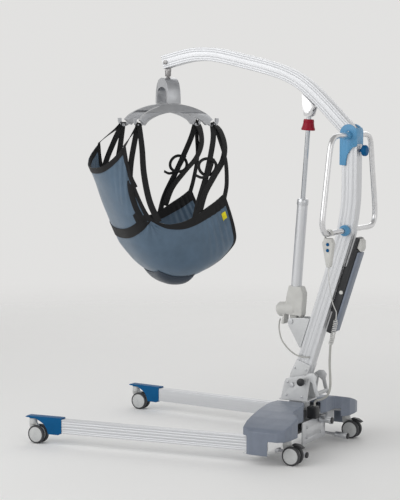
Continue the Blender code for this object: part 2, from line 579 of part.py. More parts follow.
ear_shape = [(-0.101, 1.505), (-0.097, 1.440), (-0.092, 1.416), (-0.076, 1.408), (-0.060, 1.416), (-0.052, 1.440),
             (-0.046, 1.458)]
cheeks = [mesh_plate(ear_shape, 0.005, "XZ", y) for y in (-0.0200, 0.0200)]
ear = join(cheeks[0], cheeks[1], mesh_plate([(-0.101, 1.505), (-0.099, 1.470), (-0.070, 1.470), (-0.050, 1.450),
                                            (-0.046, 1.458)], 0.0420, "XZ", 0.0))
for side in (-1.0, 1.0):
    ear = join(ear, mesh_turned([(0.0058, 0.0), (0.0058, 0.0068), (0.0095, 0.0070), (0.0095, 0.0110)],
                                (RAM_EYE[0], side * 0.0160, RAM_EYE[1]), (RAM_EYE[0], side * 0.2, RAM_EYE[1]), 20))
ear = cut(ear, mesh_plate(ribbon(BOOM_PATH, BOOM_HEIGHT / 2.0 + GAP, 2), 0.080, "XZ", 0.0))
finish("boom_ear", ear, BRACKET_GREY)

# ---------------------------------------------------------------- lifting actuator
foot3 = Vector((RAM_FOOT[0], 0.0, RAM_FOOT[1]))
eye3 = Vector((RAM_EYE[0], 0.0, RAM_EYE[1]))
ram_way = (eye3 - foot3).normalized()

bracket_side = [(-0.154, 0.540), (-0.150, 0.528), (-0.100, 0.440), (-0.0600, 0.428), (-0.0200, 0.560),
                (-0.080, 0.566), (-0.140, 0.562), (-0.152, 0.556)]
brackets = [mesh_plate(bracket_side, 0.005, "XZ", y, [(RAM_FOOT[0], RAM_FOOT[1], 0.0062)])
            for y in (-0.0285, 0.0285)]
ram_bracket = join(brackets[0], brackets[1], mesh_plate([(-0.098, 0.440), (-0.060, 0.428), (-0.045, 0.480),
                                                        (-0.090, 0.500)], 0.058, "XZ", 0.0))
ram_bracket = cut(ram_bracket, mesh_plate(ribbon(MAST_PATH, MAST_DEPTH / 2.0 + GAP, 3), 0.2, "XZ", 0.0))
finish("actuator_bracket", ram_bracket, BRACKET_GREY)

motor = mesh_plate([(-0.050, -0.018), (0.020, -0.014), (0.044, 0.030), (0.044, 0.122), (0.030, 0.150),
                    (-0.026, 0.150), (-0.034, 0.100), (-0.040, 0.040)], 0.050, "XZ", 0.0)
motor = rounded(motor, 0.005, 2, 30.0)
motor = join(motor, mesh_turned([(0.026, 0.0), (0.031, 0.008), (0.032, 0.040), (0.031, 0.078), (0.020, 0.090)],
                                (0.010, 0.0, 0.054), (-0.300, 0.0, -0.0010), 24))
lug = join(mesh_rod((0.0, -0.0120, 0.0), (0.0, 0.0120, 0.0), 0.015, segments=24),
           mesh_box((0.030, 0.024, 0.060), (0.0, 0.0, 0.030)))
motor = cut(motor, mesh_box((0.070, 0.080, 0.046), (0.0, 0.0, 0.003)))
motor = join(motor, lug)
motor = cut(motor, mesh_rod((0.0, -0.05, 0.0), (0.0, 0.05, 0.0), 0.0061, segments=20),
            mesh_rod((0.0, 0.0, 0.100), (0.0, 0.0, 0.300), RAM_TUBE_R + GAP, segments=28))
ram_frame = Matrix.Translation(foot3) @ Matrix.Rotation(math.atan2(ram_way.x, ram_way.z), 4, "Y")
motor.transform(ram_frame)
finish("actuator_motor", motor, LIGHT_PLASTIC, foot3)

tube = mesh_turned([(RAM_TUBE_R, 0.1003), (RAM_TUBE_R, 0.495), (0.0245, 0.495), (0.0245, 0.514), (0.0215, 0.520)],
                   (0.0, 0.0, 0.0), (0.0, 0.0, 1.0), 28)
tube = cut(tube, mesh_rod((0.0, 0.0, 0.115), (0.0, 0.0, 0.600), RAM_ROD_R + 0.0004, segments=24))
tube.transform(ram_frame)
finish("actuator_tube", tube, LIGHT_PLASTIC)

ram_length = (eye3 - foot3).length
rod = mesh_rod((0.0, 0.0, 0.470), (0.0, 0.0, ram_length - 0.010), RAM_ROD_R, segments=24)
rod = join(rod, mesh_rod((0.0, -0.0150, ram_length), (0.0, 0.0150, ram_length), 0.014, segments=24))
rod.transform(ram_frame)
finish("piston_rod", rod, CHROME, eye3)

bell = mesh_turned([(0.0285, 0.0), (0.0285, 0.008), (0.0250, 0.020), (0.0225, 0.036), (0.0215, 0.046)],
                   (0.0, 0.0, ram_length - 0.075), (0.0, 0.0, 2.0), 28)
bell = cut(bell, mesh_rod((0.0, 0.0, 0.5), (0.0, 0.0, 1.2), RAM_ROD_R + 0.0004, segments=24),
           mesh_turned([(0.0255, 0.0), (0.0180, 0.030)], (0.0, 0.0, ram_length - 0.0755), (0.0, 0.0, 2.0), 24))
bell.transform(ram_frame)
finish("emergency_sleeve", bell, RED, eye3 - ram_way * 0.046)

# ---------------------------------------------------------------- control box, battery, handset
mast_turn = math.atan2(mast_dir.x, mast_dir.y)
box_frame = Matrix.Translation((0.0415, 0.0, 0.620)) @ Matrix.Rotation(mast_turn, 4, "Y")

case = rounded(mesh_box((0.026, 0.054, 0.377), (0.0250, 0.0, 0.0815)), 0.003, 2)
case = join(case, rounded(mesh_box((0.018, 0.054, 0.060), (0.0210, 0.0, 0.286)), 0.003, 2),
            mesh_box((0.0137, 0.030, 0.200), (0.00715, 0.0, 0.080)))
case = cut(case, mesh_rod((0.0250, -0.0400, 0.075), (0.0250, -0.0230, 0.075), 0.0090))
case.transform(box_frame)
finish("control_box", case, BLACK)

pack = rounded(mesh_box((0.0125, 0.050, 0.354), (0.04455, 0.0, 0.083)), 0.003, 2)
pack.transform(box_frame)
finish("battery", pack, SLATE, box_frame @ Vector((0.0383, 0.0, 0.083)))

latch = mesh_plate([(0.0303, 0.2745), (0.0385, 0.2700), (0.0500, 0.2640), (0.0520, 0.2800), (0.0430, 0.3080),
                    (0.0303, 0.3160)], 0.044, "XZ", 0.0)
latch.transform(box_frame)
finish("battery_latch", latch, LIGHT_PLASTIC, box_frame @ Vector((0.0340, 0.0, 0.312)))

stop = mesh_turned([(0.0085, 0.0), (0.0085, 0.004), (0.0070, 0.0060)], (0.0250, -0.0262, 0.075),
                   (0.0250, -0.2, 0.075), 18)
stop.transform(box_frame)
finish("stop_button", stop, LIGHT_PLASTIC, box_frame @ Vector((0.0250, -0.0262, 0.075)))

hook_y = -0.205
handset = mesh_plate([(0.082, 0.905), (0.092, 0.925), (0.122, 0.9255), (0.132, 0.905), (0.119, 0.812), (0.113, 0.806),
                      (0.105, 0.806), (0.100, 0.812)], 0.026, "XZ", hook_y)
hanger = mesh_plate(ribbon([(0.092, 0.918), (0.0915, 0.943), (0.097, 0.9545), (0.108, 0.9585), (0.119, 0.9545),
                            (0.1240, 0.943), (0.1235, 0.938)], 0.0022, 4), 0.016, "XZ", hook_y)
handset = join(rounded(handset, 0.004, 1, 45.0), hanger)
for z in (0.900, 0.876):
    handset = cut(handset, mesh_rod((0.108, hook_y - 0.0300, z), (0.108, hook_y - 0.0100, z), 0.0070))
finish("handset", handset, LIGHT_PLASTIC)

for tag, z in (("up", 0.900), ("down", 0.876)):
    button = mesh_turned([(0.0065, 0.0), (0.0065, 0.003), (0.0055, 0.0038)], (0.108, hook_y - 0.0122, z),
                         (0.108, -0.5, z), 18)
    finish("handset_button_" + tag, button, BLUE, (0.108, hook_y - 0.0133, z))

cord = mesh_tube([(0.109, hook_y, 0.8055), (0.108, hook_y, 0.770), (0.103, -0.180, 0.720), (0.096, -0.135, 0.655),
                  (0.090, -0.090, 0.620), (0.082, -0.058, 0.595), (0.074, -0.045, 0.560), (0.064, -0.040, 0.525),
                  (0.052, -0.038, 0.500), (0.046, -0.036, 0.470)], 0.0035, 1, 4)
finish("handset_cord", cord, CABLE)

motor_lead = mesh_tube([(-0.200, -0.006, 0.553), (-0.202, -0.012, 0.536), (-0.194, -0.030, 0.510),
                        (-0.178, -0.040, 0.470), (-0.150, -0.042, 0.436), (-0.118, -0.040, 0.412),
                        (-0.090, -0.036, 0.402), (-0.070, -0.0335, 0.400), (-0.050, -0.0325, 0.402)], 0.003, 1, 4)
finish("motor_cable", motor_lead, CABLE)

base_lead = mesh_tube([(0.034, 0.004, 0.5030), (0.031, 0.004, 0.480), (0.026, 0.006, 0.425), (0.024, 0.008, 0.370),
                       (0.027, 0.008, 0.320), (0.028, 0.006, 0.275), (0.018, 0.003, 0.240), (-0.006, 0.000, 0.222),
                       (-0.028, 0.000, 0.2150), (-0.039, 0.000, 0.2050), (-0.040, 0.000, 0.1892)], 0.005, 1, 4)
finish("base_cable", base_lead, CABLE)

# ---------------------------------------------------------------- hanger, yoke and spreader bars
hang = Vector((HANGER_PIN[0], 0.0, HANGER_PIN[1]))
link = mesh_plate([(HANGER_PIN[0] - 0.012, 1.600)] + arc(HANGER_PIN[0], HANGER_PIN[1], 0.013, 180.0, 0.0, 8)
                  + [(HANGER_PIN[0] + 0.012, 1.600)], 0.014, "XZ", 0.0)
link = join(link, mesh_rod((HANGER_PIN[0], 0.0, 1.604), (HANGER_PIN[0], 0.0, 1.5790), 0.013, segments=24))
link = join(link, mesh_rod((HANGER_PIN[0], 0.0, 1.582), (HANGER_PIN[0], 0.0, 1.5240), 0.0075, segments=20))
link = join(link, mesh_rod((HANGER_PIN[0], 0.0, 1.5280), (HANGER_PIN[0], 0.0, 1.5180), 0.0130, segments=16))
link = join(link, mesh_turned([(0.0095, 0.0), (0.0095, 0.0040), (0.0055, 0.0042), (0.0055, 0.0530)],
                              (HANGER_PIN[0], -0.0285, HANGER_PIN[1]), (HANGER_PIN[0], 0.2, HANGER_PIN[1]), 20))
finish("hanger_link", link, CHROME, hang)

yaw = Matrix.Translation((HANGER_PIN[0], 0.0, 0.0)) @ Matrix.Rotation(SPREADER_YAW, 4, "Z")
yoke_foot = SPREADER_TOP - 0.0017
yoke_outer = [(0.0770, yoke_foot), (0.0765, 1.490), (0.0720, 1.520), (0.0610, 1.546), (0.0430, 1.564), (0.0200, 1.572)]
yoke_inner = [(0.0590, yoke_foot), (0.0585, 1.487), (0.0545, 1.509), (0.0430, 1.524), (0.0200, 1.531)]
yoke_out = (yoke_outer + [(0.0, 1.574)] + [(-a, b) for a, b in yoke_outer[::-1]]
            + [(-a, b) for a, b in yoke_inner] + [(0.0, 1.533)] + yoke_inner[::-1])
yoke = mesh_plate(yoke_out, 0.060, "YZ", 0.0)
yoke = rounded(yoke, 0.003, 2, 40.0)
yoke = cut(yoke, mesh_rod((0.0, 0.0, 1.48), (0.0, 0.0, 1.65), 0.0078, segments=20))
yoke.transform(yaw)
finish("yoke", yoke, CAST, (HANGER_PIN[0], 0.0, 1.560))


def spreader(side):
    """One arched bar of the spreader with a hook at each end."""
    half = SPREADER_LENGTH / 2.0
    rise = [(-half, -0.062), (-half * 0.86, -0.040), (-half * 0.6, -0.019), (-half * 0.3, -0.005), (0.0, 0.0),
            (half * 0.3, -0.005), (half * 0.6, -0.019), (half * 0.86, -0.040), (half, -0.062)]
    top = SPREADER_TOP - 0.020
    outline = ribbon([(a, top + b) for a, b in rise], 0.018, 3)
    bar = mesh_plate(outline, 0.022, "XZ", 0.0)
    bar = rounded(bar, 0.003, 1, 50.0)
    for end in (-1.0, 1.0):
        tip = end * half
        hook = mesh_plate(ribbon([(tip - end * 0.012, top - 0.052), (tip + end * 0.004, top - 0.070),
                                  (tip + end * 0.020, top - 0.074), (tip + end * 0.032, top - 0.062),
                                  (tip + end * 0.034, top - 0.044)], 0.006, 4), 0.014, "XZ", 0.0)
        bar = join(bar, hook)
    bm = bmesh.new()
    bm.from_mesh(bar)
    for vert in bm.verts:
        vert.co.y += side * (SPREADER_GAP / 2.0 + 0.9 * vert.co.x * vert.co.x)
    return mesh_from(bm, "spreader")


for tag, side in (("left", -1.0), ("right", 1.0)):
    one_bar = spreader(side)
    one_bar.transform(yaw)
    finish("spreader_bar_" + tag, one_bar, CAST)

# ---------------------------------------------------------------- sling
SLING_LINE = [(-0.345, 1.185), (-0.300, 1.090), (-0.262, 0.990), (-0.222, 0.895), (-0.170, 0.800),
              (-0.100, 0.718), (-0.010, 0.675), (0.080, 0.680), (0.170, 0.722), (0.245, 0.785), (0.290, 0.830)]
SLING_DEPTH = [0.105, 0.125, 0.145, 0.180, 0.235, 0.270, 0.285, 0.285, 0.280, 0.275, 0.270]
SLING_HALF = [0.170, 0.180, 0.190, 0.198, 0.205, 0.208, 0.208, 0.206, 0.202, 0.198, 0.195]


def sling_point(u, v):
    """Point of the sling shell; u runs from shoulders to knees, v from side to side."""
    place = u * (len(SLING_LINE) - 1)
    i = min(int(place), len(SLING_LINE) - 2)
    t = place - i
    behind = Vector(SLING_LINE[i])
    ahead = Vector(SLING_LINE[i + 1])
    spot = behind.lerp(ahead, t)
    along = (ahead - behind).normalized()
    inward = Vector((-along.y, along.x))
    depth = SLING_DEPTH[i] * (1 - t) + SLING_DEPTH[i + 1] * t
    half = SLING_HALF[i] * (1 - t) + SLING_HALF[i + 1] * t
    angle = v * math.pi / 2.0
    rise = depth * (1.0 - math.cos(angle))
    out = half * math.copysign(abs(math.sin(angle)) ** 0.75, angle)
    return Vector((spot.x + inward.x * rise, out, spot.y + inward.y * rise))


bm = bmesh.new()
bmesh.ops.create_grid(bm, x_segments=14, y_segments=12, size=0.5)
for vert in bm.verts:
    vert.co = sling_point(vert.co.x + 0.5, vert.co.y * 2.0)
shell = mesh_from(bm, "sling")
holder = bpy.data.objects.new("sling_tmp", shell)
bpy.context.scene.collection.objects.link(holder)
thicken = holder.modifiers.new("thickness", "SOLIDIFY")
thicken.thickness = 0.005
thicken.offset = 0.0
body = bpy.data.meshes.new_from_object(holder.evaluated_get(bpy.context.evaluated_depsgraph_get()))
bpy.data.objects.remove(holder, do_unlink=True)
body.transform(yaw)
finish("sling_body", body, FABRIC)

STRAP_PATH = [(-0.175, 1.3580), (-0.184, 1.300), (-0.200, 1.180), (-0.196, 1.080), (-0.160, 1.000), (-0.100, 0.962),
              (-0.030, 0.960), (0.040, 0.990), (0.100, 1.035), (0.146, 1.090), (0.163, 1.180), (0.171, 1.280),
              (0.177, 1.3580)]
for tag, side in (("left", -1.0), ("right", 1.0)):
    webbing = mesh_plate(ribbon(STRAP_PATH, 0.014, 3), 0.004, "XZ", 0.0)
    bm = bmesh.new()
    bm.from_mesh(webbing)
    for vert in bm.verts:
        high = min(max((vert.co.z - 1.205) / 0.150, 0.0), 1.0)
        vert.co.y += side * (0.2140 - 0.1200 * high * high * (3.0 - 2.0 * high))
    strap = mesh_from(bm, "strap")
    strap.transform(yaw)
    finish("sling_straps_" + tag, strap, WEBBING)

for obj in part_collection.objects:
    obj.location.x += SHIFT_X
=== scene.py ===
"""Looks of the patient lift hoist: extruded column, boom and legs, moulded covers, castors and a hung sling.

The drawing frame has X = 0 just behind the rear castor swivels, -X towards the toes and -Y to the
operator's left.
"""
import json
import math

import bmesh
import bpy
from mathutils import Matrix, Vector, noise


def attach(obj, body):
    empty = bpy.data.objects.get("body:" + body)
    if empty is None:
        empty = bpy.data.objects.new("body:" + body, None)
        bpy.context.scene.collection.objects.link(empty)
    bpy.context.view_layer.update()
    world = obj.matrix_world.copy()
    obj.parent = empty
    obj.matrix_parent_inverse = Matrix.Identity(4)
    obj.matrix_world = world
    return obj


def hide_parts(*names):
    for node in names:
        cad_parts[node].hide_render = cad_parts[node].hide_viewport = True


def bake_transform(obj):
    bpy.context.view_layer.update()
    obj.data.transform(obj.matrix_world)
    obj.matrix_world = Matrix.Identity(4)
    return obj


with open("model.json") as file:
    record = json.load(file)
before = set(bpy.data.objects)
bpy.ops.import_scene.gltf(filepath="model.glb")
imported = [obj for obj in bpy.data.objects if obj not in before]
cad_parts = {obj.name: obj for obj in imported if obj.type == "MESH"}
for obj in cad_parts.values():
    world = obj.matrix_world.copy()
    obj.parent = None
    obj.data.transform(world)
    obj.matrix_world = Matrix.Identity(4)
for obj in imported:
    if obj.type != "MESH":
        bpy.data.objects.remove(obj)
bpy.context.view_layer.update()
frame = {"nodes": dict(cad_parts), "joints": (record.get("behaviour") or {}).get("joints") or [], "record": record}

# ---------------------------------------------------------------- driving dimensions
BOOM_PIVOT = (0.115, 1.345)
pivot_joint = next(joint for joint in frame["joints"] if joint["name"] == "boom_lift")
SHIFT = Vector((pivot_joint["pos_m"][0] - BOOM_PIVOT[0], 0.0, 0.0))

MAST_DEPTH = 0.068
MAST_WIDTH = 0.056
MAST_PATH = [(-0.1150, 0.262), (0.0806, 0.870), (0.1010, 0.955), (0.1135, 1.035), (0.1180, 1.110),
             (0.1180, 1.300)]
BOOM_HEIGHT = 0.058
BOOM_WIDTH = 0.048
BOOM_PATH = [(-0.768, 1.640), (-0.667, 1.664), (-0.618, 1.672), (-0.569, 1.674), (-0.520, 1.671),
             (-0.461, 1.661), (-0.342, 1.634), (-0.271, 1.617), (-0.195, 1.594), (-0.130, 1.565),
             (-0.085, 1.535), (-0.040, 1.497), (0.006, 1.454), (0.050, 1.410), (0.115, 1.345)]
RAM_FOOT = Vector((-0.140, 0.0, 0.548))
RAM_EYE = Vector((-0.076, 0.0, 1.429))
FOLD_PIN = (-0.125, 0.280)
LOCK_ROD = (-0.072, 0.299)
LEG_PIVOT = (-0.110, 0.338)
LEG_TOE = (-1.172, 0.441)
LEG_LOW = 0.052
LEG_HIGH = 0.112
LEG_HALF = 0.019
CASTORS = {"front_left": (-1.172, -0.441), "front_right": (-1.172, 0.441),
           "rear_left": (-0.024, -0.307), "rear_right": (-0.024, 0.307)}
HANGER_X = -0.752
YAW = Matrix.Translation((HANGER_X, 0.0, 0.0)) @ Matrix.Rotation(math.radians(50.0), 4, "Z")


# ---------------------------------------------------------------- materials
class Surface:
    """A Principled material with the few node steps that all finishes here share."""

    def __init__(self, name, colour, roughness, metallic=0.0, coat=0.0, sheen=0.0, specular=0.5):
        self.mat = bpy.data.materials.new(name)
        self.mat.use_nodes = True
        self.tree = self.mat.node_tree
        self.shader = self.tree.nodes["Principled BSDF"]
        self.colour = (colour[0], colour[1], colour[2], 1.0)
        self.roughness = roughness
        self.shader.inputs["Base Color"].default_value = self.colour
        self.shader.inputs["Roughness"].default_value = roughness
        self.shader.inputs["Metallic"].default_value = metallic
        self.shader.inputs["Coat Weight"].default_value = coat
        self.shader.inputs["Coat Roughness"].default_value = 0.12
        self.shader.inputs["Sheen Weight"].default_value = sheen
        self.shader.inputs["Specular IOR Level"].default_value = specular
        self.bump = None

    def node(self, kind, **values):
        made = self.tree.nodes.new(kind)
        for key, value in values.items():
            if key in made.inputs:
                made.inputs[key].default_value = value
            else:
                setattr(made, key, value)
        return made

    def link(self, a, b):
        self.tree.links.new(a, b)

    def where(self, source="Object", scale=(1.0, 1.0, 1.0)):
        """Texture coordinates of the object or its UVs, stretched by scale."""
        place = self.node("ShaderNodeTexCoord")
        stretch = self.node("ShaderNodeMapping", Scale=scale)
        self.link(place.outputs[source], stretch.inputs["Vector"])
        return stretch.outputs["Vector"]

    def grain(self, vector, size, detail=3.0):
        """Noise whose grains are about size metres."""
        made = self.node("ShaderNodeTexNoise", Scale=1.0 / size, Detail=detail, Roughness=0.6)
        self.link(vector, made.inputs["Vector"])
        return made.outputs["Fac"]

    def spread(self, value, low, high):
        """Map a 0 to 1 value to low..high."""
        made = self.node("ShaderNodeMapRange")
        made.inputs["To Min"].default_value = low
        made.inputs["To Max"].default_value = high
        made.inputs["From Min"].default_value = 0.25
        made.inputs["From Max"].default_value = 0.75
        self.link(value, made.inputs["Value"])
        return made.outputs["Result"]

    def vary_colour(self, value, darker, lighter=1.0):
        """Tint the colour between darker and lighter times itself."""
        made = self.node("ShaderNodeMix", data_type="RGBA")
        made.inputs[6].default_value = tuple(c * darker for c in self.colour[:3]) + (1.0,)
        made.inputs[7].default_value = tuple(min(c * lighter, 1.0) for c in self.colour[:3]) + (1.0,)
        self.link(value, made.inputs[0])
        self.link(made.outputs[2], self.shader.inputs["Base Color"])
        return self

    def vary_roughness(self, value, amount):
        self.link(self.spread(value, self.roughness - amount, self.roughness + amount),
                  self.shader.inputs["Roughness"])
        return self

    def relief(self, value, depth, strength=1.0):
        """Add a bump of depth metres; later calls stack on earlier ones."""
        made = self.node("ShaderNodeBump", Distance=depth, Strength=strength)
        self.link(value, made.inputs["Height"])
        if self.bump is not None:
            self.link(self.bump.outputs["Normal"], made.inputs["Normal"])
        self.link(made.outputs["Normal"], self.shader.inputs["Normal"])
        self.bump = made
        return self

    def wave(self, vector, size, direction, profile="SIN"):
        """Stripes size metres apart along one axis."""
        made = self.node("ShaderNodeTexWave", Scale=0.314159 / size * 0.5 * 2.0, Distortion=0.0,
                         bands_direction=direction, wave_profile=profile)
        self.link(vector, made.inputs["Vector"])
        return made.outputs["Fac"]

    def blend(self, a, b, operation="MULTIPLY"):
        made = self.node("ShaderNodeMath", operation=operation)
        self.link(a, made.inputs[0])
        self.link(b, made.inputs[1])
        return made.outputs[0]


def moulded(name, colour, roughness, grain=0.0009, depth=0.00006, coat=0.0, specular=0.5):
    """Moulded plastic: fine grain in the skin, faint cloudiness and handling marks."""
    skin = Surface(name, colour, roughness, coat=coat, specular=specular)
    place = skin.where()
    skin.vary_colour(skin.spread(skin.grain(place, 0.045, 4.0), 0.0, 1.0), 0.90, 1.08)
    skin.vary_roughness(skin.grain(place, 0.020, 5.0), 0.07)
    skin.relief(skin.grain(place, grain, 2.0), depth, 0.6)
    return skin.mat


def extruded(name, colour, roughness, metallic):
    """Satin anodised profile with faint die lines along its length."""
    skin = Surface(name, colour, roughness, metallic)
    lines = skin.grain(skin.where("UV", (1.5, 260.0, 1.0)), 1.0, 4.0)
    marks = skin.grain(skin.where("UV", (9.0, 40.0, 1.0)), 1.0, 5.0)
    skin.vary_colour(skin.spread(lines, 0.0, 1.0), 0.95, 1.03)
    skin.vary_roughness(marks, 0.06)
    skin.relief(lines, 0.00001, 0.3)
    return skin.mat


def metal(name, colour, roughness, metallic=1.0, grain=0.003, depth=0.00004):
    """Plated, brushed or powder-coated metal with light mottling."""
    skin = Surface(name, colour, roughness, metallic)
    place = skin.where()
    skin.vary_colour(skin.spread(skin.grain(place, 0.030, 4.0), 0.0, 1.0), 0.93, 1.04)
    skin.vary_roughness(skin.grain(place, 0.012, 5.0), roughness * 0.25)
    skin.relief(skin.grain(place, grain, 3.0), depth, 0.6)
    return skin.mat


def woven(name, colour, roughness, pitch, sheen, depth, ribbed=False):
    """Woven cloth or webbing: two thread directions from UVs in metres, and a soft cloudiness."""
    skin = Surface(name, colour, roughness, sheen=sheen, specular=0.35)
    skin.shader.inputs["Sheen Roughness"].default_value = 0.45
    flat = skin.where("UV")
    warp = skin.wave(flat, pitch, "X")
    weft = skin.wave(flat, pitch * (3.0 if ribbed else 1.0), "Y")
    threads = skin.blend(warp, weft, "ADD" if ribbed else "MULTIPLY")
    skin.relief(threads, depth, 0.7)
    cloud = skin.grain(skin.where("Object"), 0.060, 5.0)
    tone = skin.blend(skin.spread(cloud, 0.0, 0.75), skin.spread(threads, 0.0, 0.25), "ADD")
    skin.vary_colour(tone, 0.82, 1.14)
    skin.relief(skin.grain(skin.where("Object"), 0.007, 4.0), 0.0004, 0.35)
    return skin.mat


ANODISED = extruded("anodised_aluminium_look", (0.66, 0.67, 0.69), 0.42, 0.70)
HANDLE = metal("satin_tube_look", (0.74, 0.74, 0.75), 0.24, 0.95, 0.002)
STEEL = metal("brushed_steel_look", (0.62, 0.63, 0.65), 0.33, 0.9, 0.0015)
# Painted reflection: the hanger's chrome is given a dark base colour to copy the dark reflections seen on its rods
DARK_REFLECTION_STEEL = metal("hanger_painted_dark_reflection_look", (0.260, 0.255, 0.255), 0.25, 0.95, 0.0015)
CHROME = metal("chrome_look", (0.58, 0.60, 0.63), 0.14, 1.0, 0.004, 0.00001)
BRACKET = metal("bracket_grey_look", (0.60, 0.61, 0.62), 0.42, 0.45, 0.0012, 0.00008)
CAST = metal("cast_grey_look", (0.47, 0.48, 0.50), 0.34, 0.80, 0.0016, 0.00010)
BLUE = moulded("blue_plastic_look", (0.000, 0.088, 0.235), 0.44, specular=0.15)
HEAD_BLUE = moulded("light_blue_plastic_look", (0.085, 0.285, 0.500), 0.36)
SLATE = moulded("slate_plastic_look", (0.188, 0.215, 0.268), 0.38, 0.0012, 0.00008, specular=0.3)
PALE = moulded("light_grey_plastic_look", (0.560, 0.560, 0.540), 0.45)
HUB = moulded("castor_hub_look", (0.540, 0.550, 0.550), 0.42)
BLACK = moulded("black_plastic_look", (0.014, 0.015, 0.018), 0.42, 0.0011, 0.00010)
RUBBER = moulded("tyre_rubber_look", (0.045, 0.046, 0.050), 0.68, 0.0007, 0.00012)
RED = moulded("red_plastic_look", (0.270, 0.000, 0.016), 0.34, specular=0.25)
CORD = moulded("cable_grey_look", (0.420, 0.420, 0.400), 0.55, 0.0008)
COIL = moulded("coil_cord_look", (0.600, 0.600, 0.590), 0.45, 0.0008)
FABRIC = woven("sling_fabric_look", (0.092, 0.145, 0.208), 0.38, 0.0011, 0.12, 0.00012)
# Painted shade: this darker blue stands in for the shade on the underside of the sling's seat
PAINTED_SHADE_CLOTH = woven("sling_seat_painted_shade_look", (0.020, 0.034, 0.056), 0.62, 0.0016, 0.30, 0.00020)
WEBBING = woven("black_webbing_look", (0.006, 0.0062, 0.007), 0.70, 0.0016, 0.04, 0.00025, ribbed=True)
TAG = woven("yellow_tag_look", (0.800, 0.700, 0.010), 0.60, 0.0012, 0.2, 0.00010)


# ---------------------------------------------------------------- mesh helpers
def grid(rows, wrap_rows=False, wrap_columns=True, caps=True, uvs=None):
    """Mesh skinned over rows of points; uvs holds one (u, v) per point, in metres."""
    count = len(rows[0])
    points = [point for row in rows for point in row]
    faces = []
    corners = []
    total = len(rows) if wrap_rows else len(rows) - 1
    across = count if wrap_columns else count - 1
    for i in range(total):
        for j in range(across):
            a, b = i, (i + 1) % len(rows)
            c, d = j, (j + 1) % count
            faces.append((a * count + c, a * count + d, b * count + d, b * count + c))
            corners.append(((i, j), (i, j + 1), (i + 1, j + 1), (i + 1, j)))
    if caps and wrap_columns and not wrap_rows:
        faces.append(tuple(range(count - 1, -1, -1)))
        faces.append(tuple((len(rows) - 1) * count + j for j in range(count)))
    mesh = bpy.data.meshes.new("grid")
    mesh.from_pydata([tuple(p) for p in points], [], faces)
    layer = mesh.uv_layers.new(name="UVMap")
    for polygon, spots in zip(mesh.polygons, corners):
        for loop, (i, j) in zip(polygon.loop_indices, spots):
            layer.data[loop].uv = uvs(i, j)
    mesh.update()
    return mesh


def smooth(points, steps=6):
    """Catmull-Rom points through the given points, any dimension."""
    vectors = [Vector(p) for p in points]
    ends = [vectors[0] * 2 - vectors[1]] + vectors + [vectors[-1] * 2 - vectors[-2]]
    result = []
    for i in range(1, len(ends) - 2):
        a, b, c, d = ends[i - 1:i + 3]
        for k in range(steps):
            t = k / steps
            result.append(0.5 * ((2 * b) + (c - a) * t + (2 * a - 5 * b + 4 * c - d) * t * t
                                 + (3 * b - a - 3 * c + d) * t * t * t))
    result.append(ends[-2])
    return result


def lengths(path):
    """Distance along a path at each of its points."""
    run = [0.0]
    for a, b in zip(path, path[1:]):
        run.append(run[-1] + (b - a).length)
    return run


def tube(points, radius, steps=6, sides=20):
    """Round tube or cord along a smooth curve, with UVs in metres."""
    path = smooth(points, steps) if steps > 1 else [Vector(p) for p in points]
    run = lengths(path)
    rows = []
    side = None
    for i, place in enumerate(path):
        way = (path[min(i + 1, len(path) - 1)] - path[max(i - 1, 0)]).normalized()
        if side is None:
            side = way.orthogonal().normalized()
        side = (side - way * side.dot(way)).normalized()
        other = way.cross(side)
        rows.append([place + (side * math.cos(a) + other * math.sin(a)) * radius
                     for a in (2 * math.pi * k / sides for k in range(sides))])
    return grid(rows, uvs=lambda i, j: (run[min(i, len(run) - 1)], j * 2 * math.pi * radius / sides)), path


def profile(path, section):
    """Profile with (y, depth) section points swept along an XZ path."""
    run = lengths(path)
    girth = lengths([Vector((a, b, 0)) for a, b in section + [section[0]]])
    rows = []
    for i, place in enumerate(path):
        way = (path[min(i + 1, len(path) - 1)] - path[max(i - 1, 0)]).normalized()
        out = Vector((-way.y, way.x))
        rows.append([Vector((place.x + out.x * b, a, place.y + out.y * b)) for a, b in section])
    return grid(rows, uvs=lambda i, j: (run[min(i, len(run) - 1)], girth[j]))


def turned(outline, start, end, sides=56):
    """(radius, distance) points turned about the line from start to end."""
    start = Vector(start)
    turn = (Vector(end) - start).to_track_quat("Z", "Y").to_matrix().to_4x4()
    turn.translation = start
    rows = [[turn @ Vector((max(r, 1e-5) * math.cos(a), max(r, 1e-5) * math.sin(a), d))
             for a in (2 * math.pi * k / sides for k in range(sides))] for r, d in outline]
    run = lengths([Vector((r, d, 0)) for r, d in outline])
    return grid(rows, uvs=lambda i, j: (run[min(i, len(run) - 1)], j * 0.1 / sides))


def plate(outline, thickness, plane="XZ", centre=0.0):
    """A flat outline extruded to a thickness."""
    half = thickness / 2.0
    if plane == "XZ":
        rows = [[Vector((a, centre + side * half, b)) for a, b in outline] for side in (-1.0, 1.0)]
    elif plane == "YZ":
        rows = [[Vector((centre + side * half, a, b)) for a, b in outline] for side in (-1.0, 1.0)]
    else:
        rows = [[Vector((a, b, centre + side * half)) for a, b in outline] for side in (-1.0, 1.0)]
    return grid(rows, uvs=lambda i, j: (i * thickness, j * 0.01))


def brick(size, centre):
    """Rectangular block."""
    x, y = size[0] / 2, size[1] / 2
    return plate([(centre[0] - x, centre[1] - y), (centre[0] + x, centre[1] - y),
                  (centre[0] + x, centre[1] + y), (centre[0] - x, centre[1] + y)], size[2], "XY", centre[2])


def arc(cx, cz, radius, start, stop, steps=8):
    """Points on a circle from start to stop degrees."""
    turn = [math.radians(start + (stop - start) * k / steps) for k in range(steps + 1)]
    return [(cx + radius * math.cos(a), cz + radius * math.sin(a)) for a in turn]


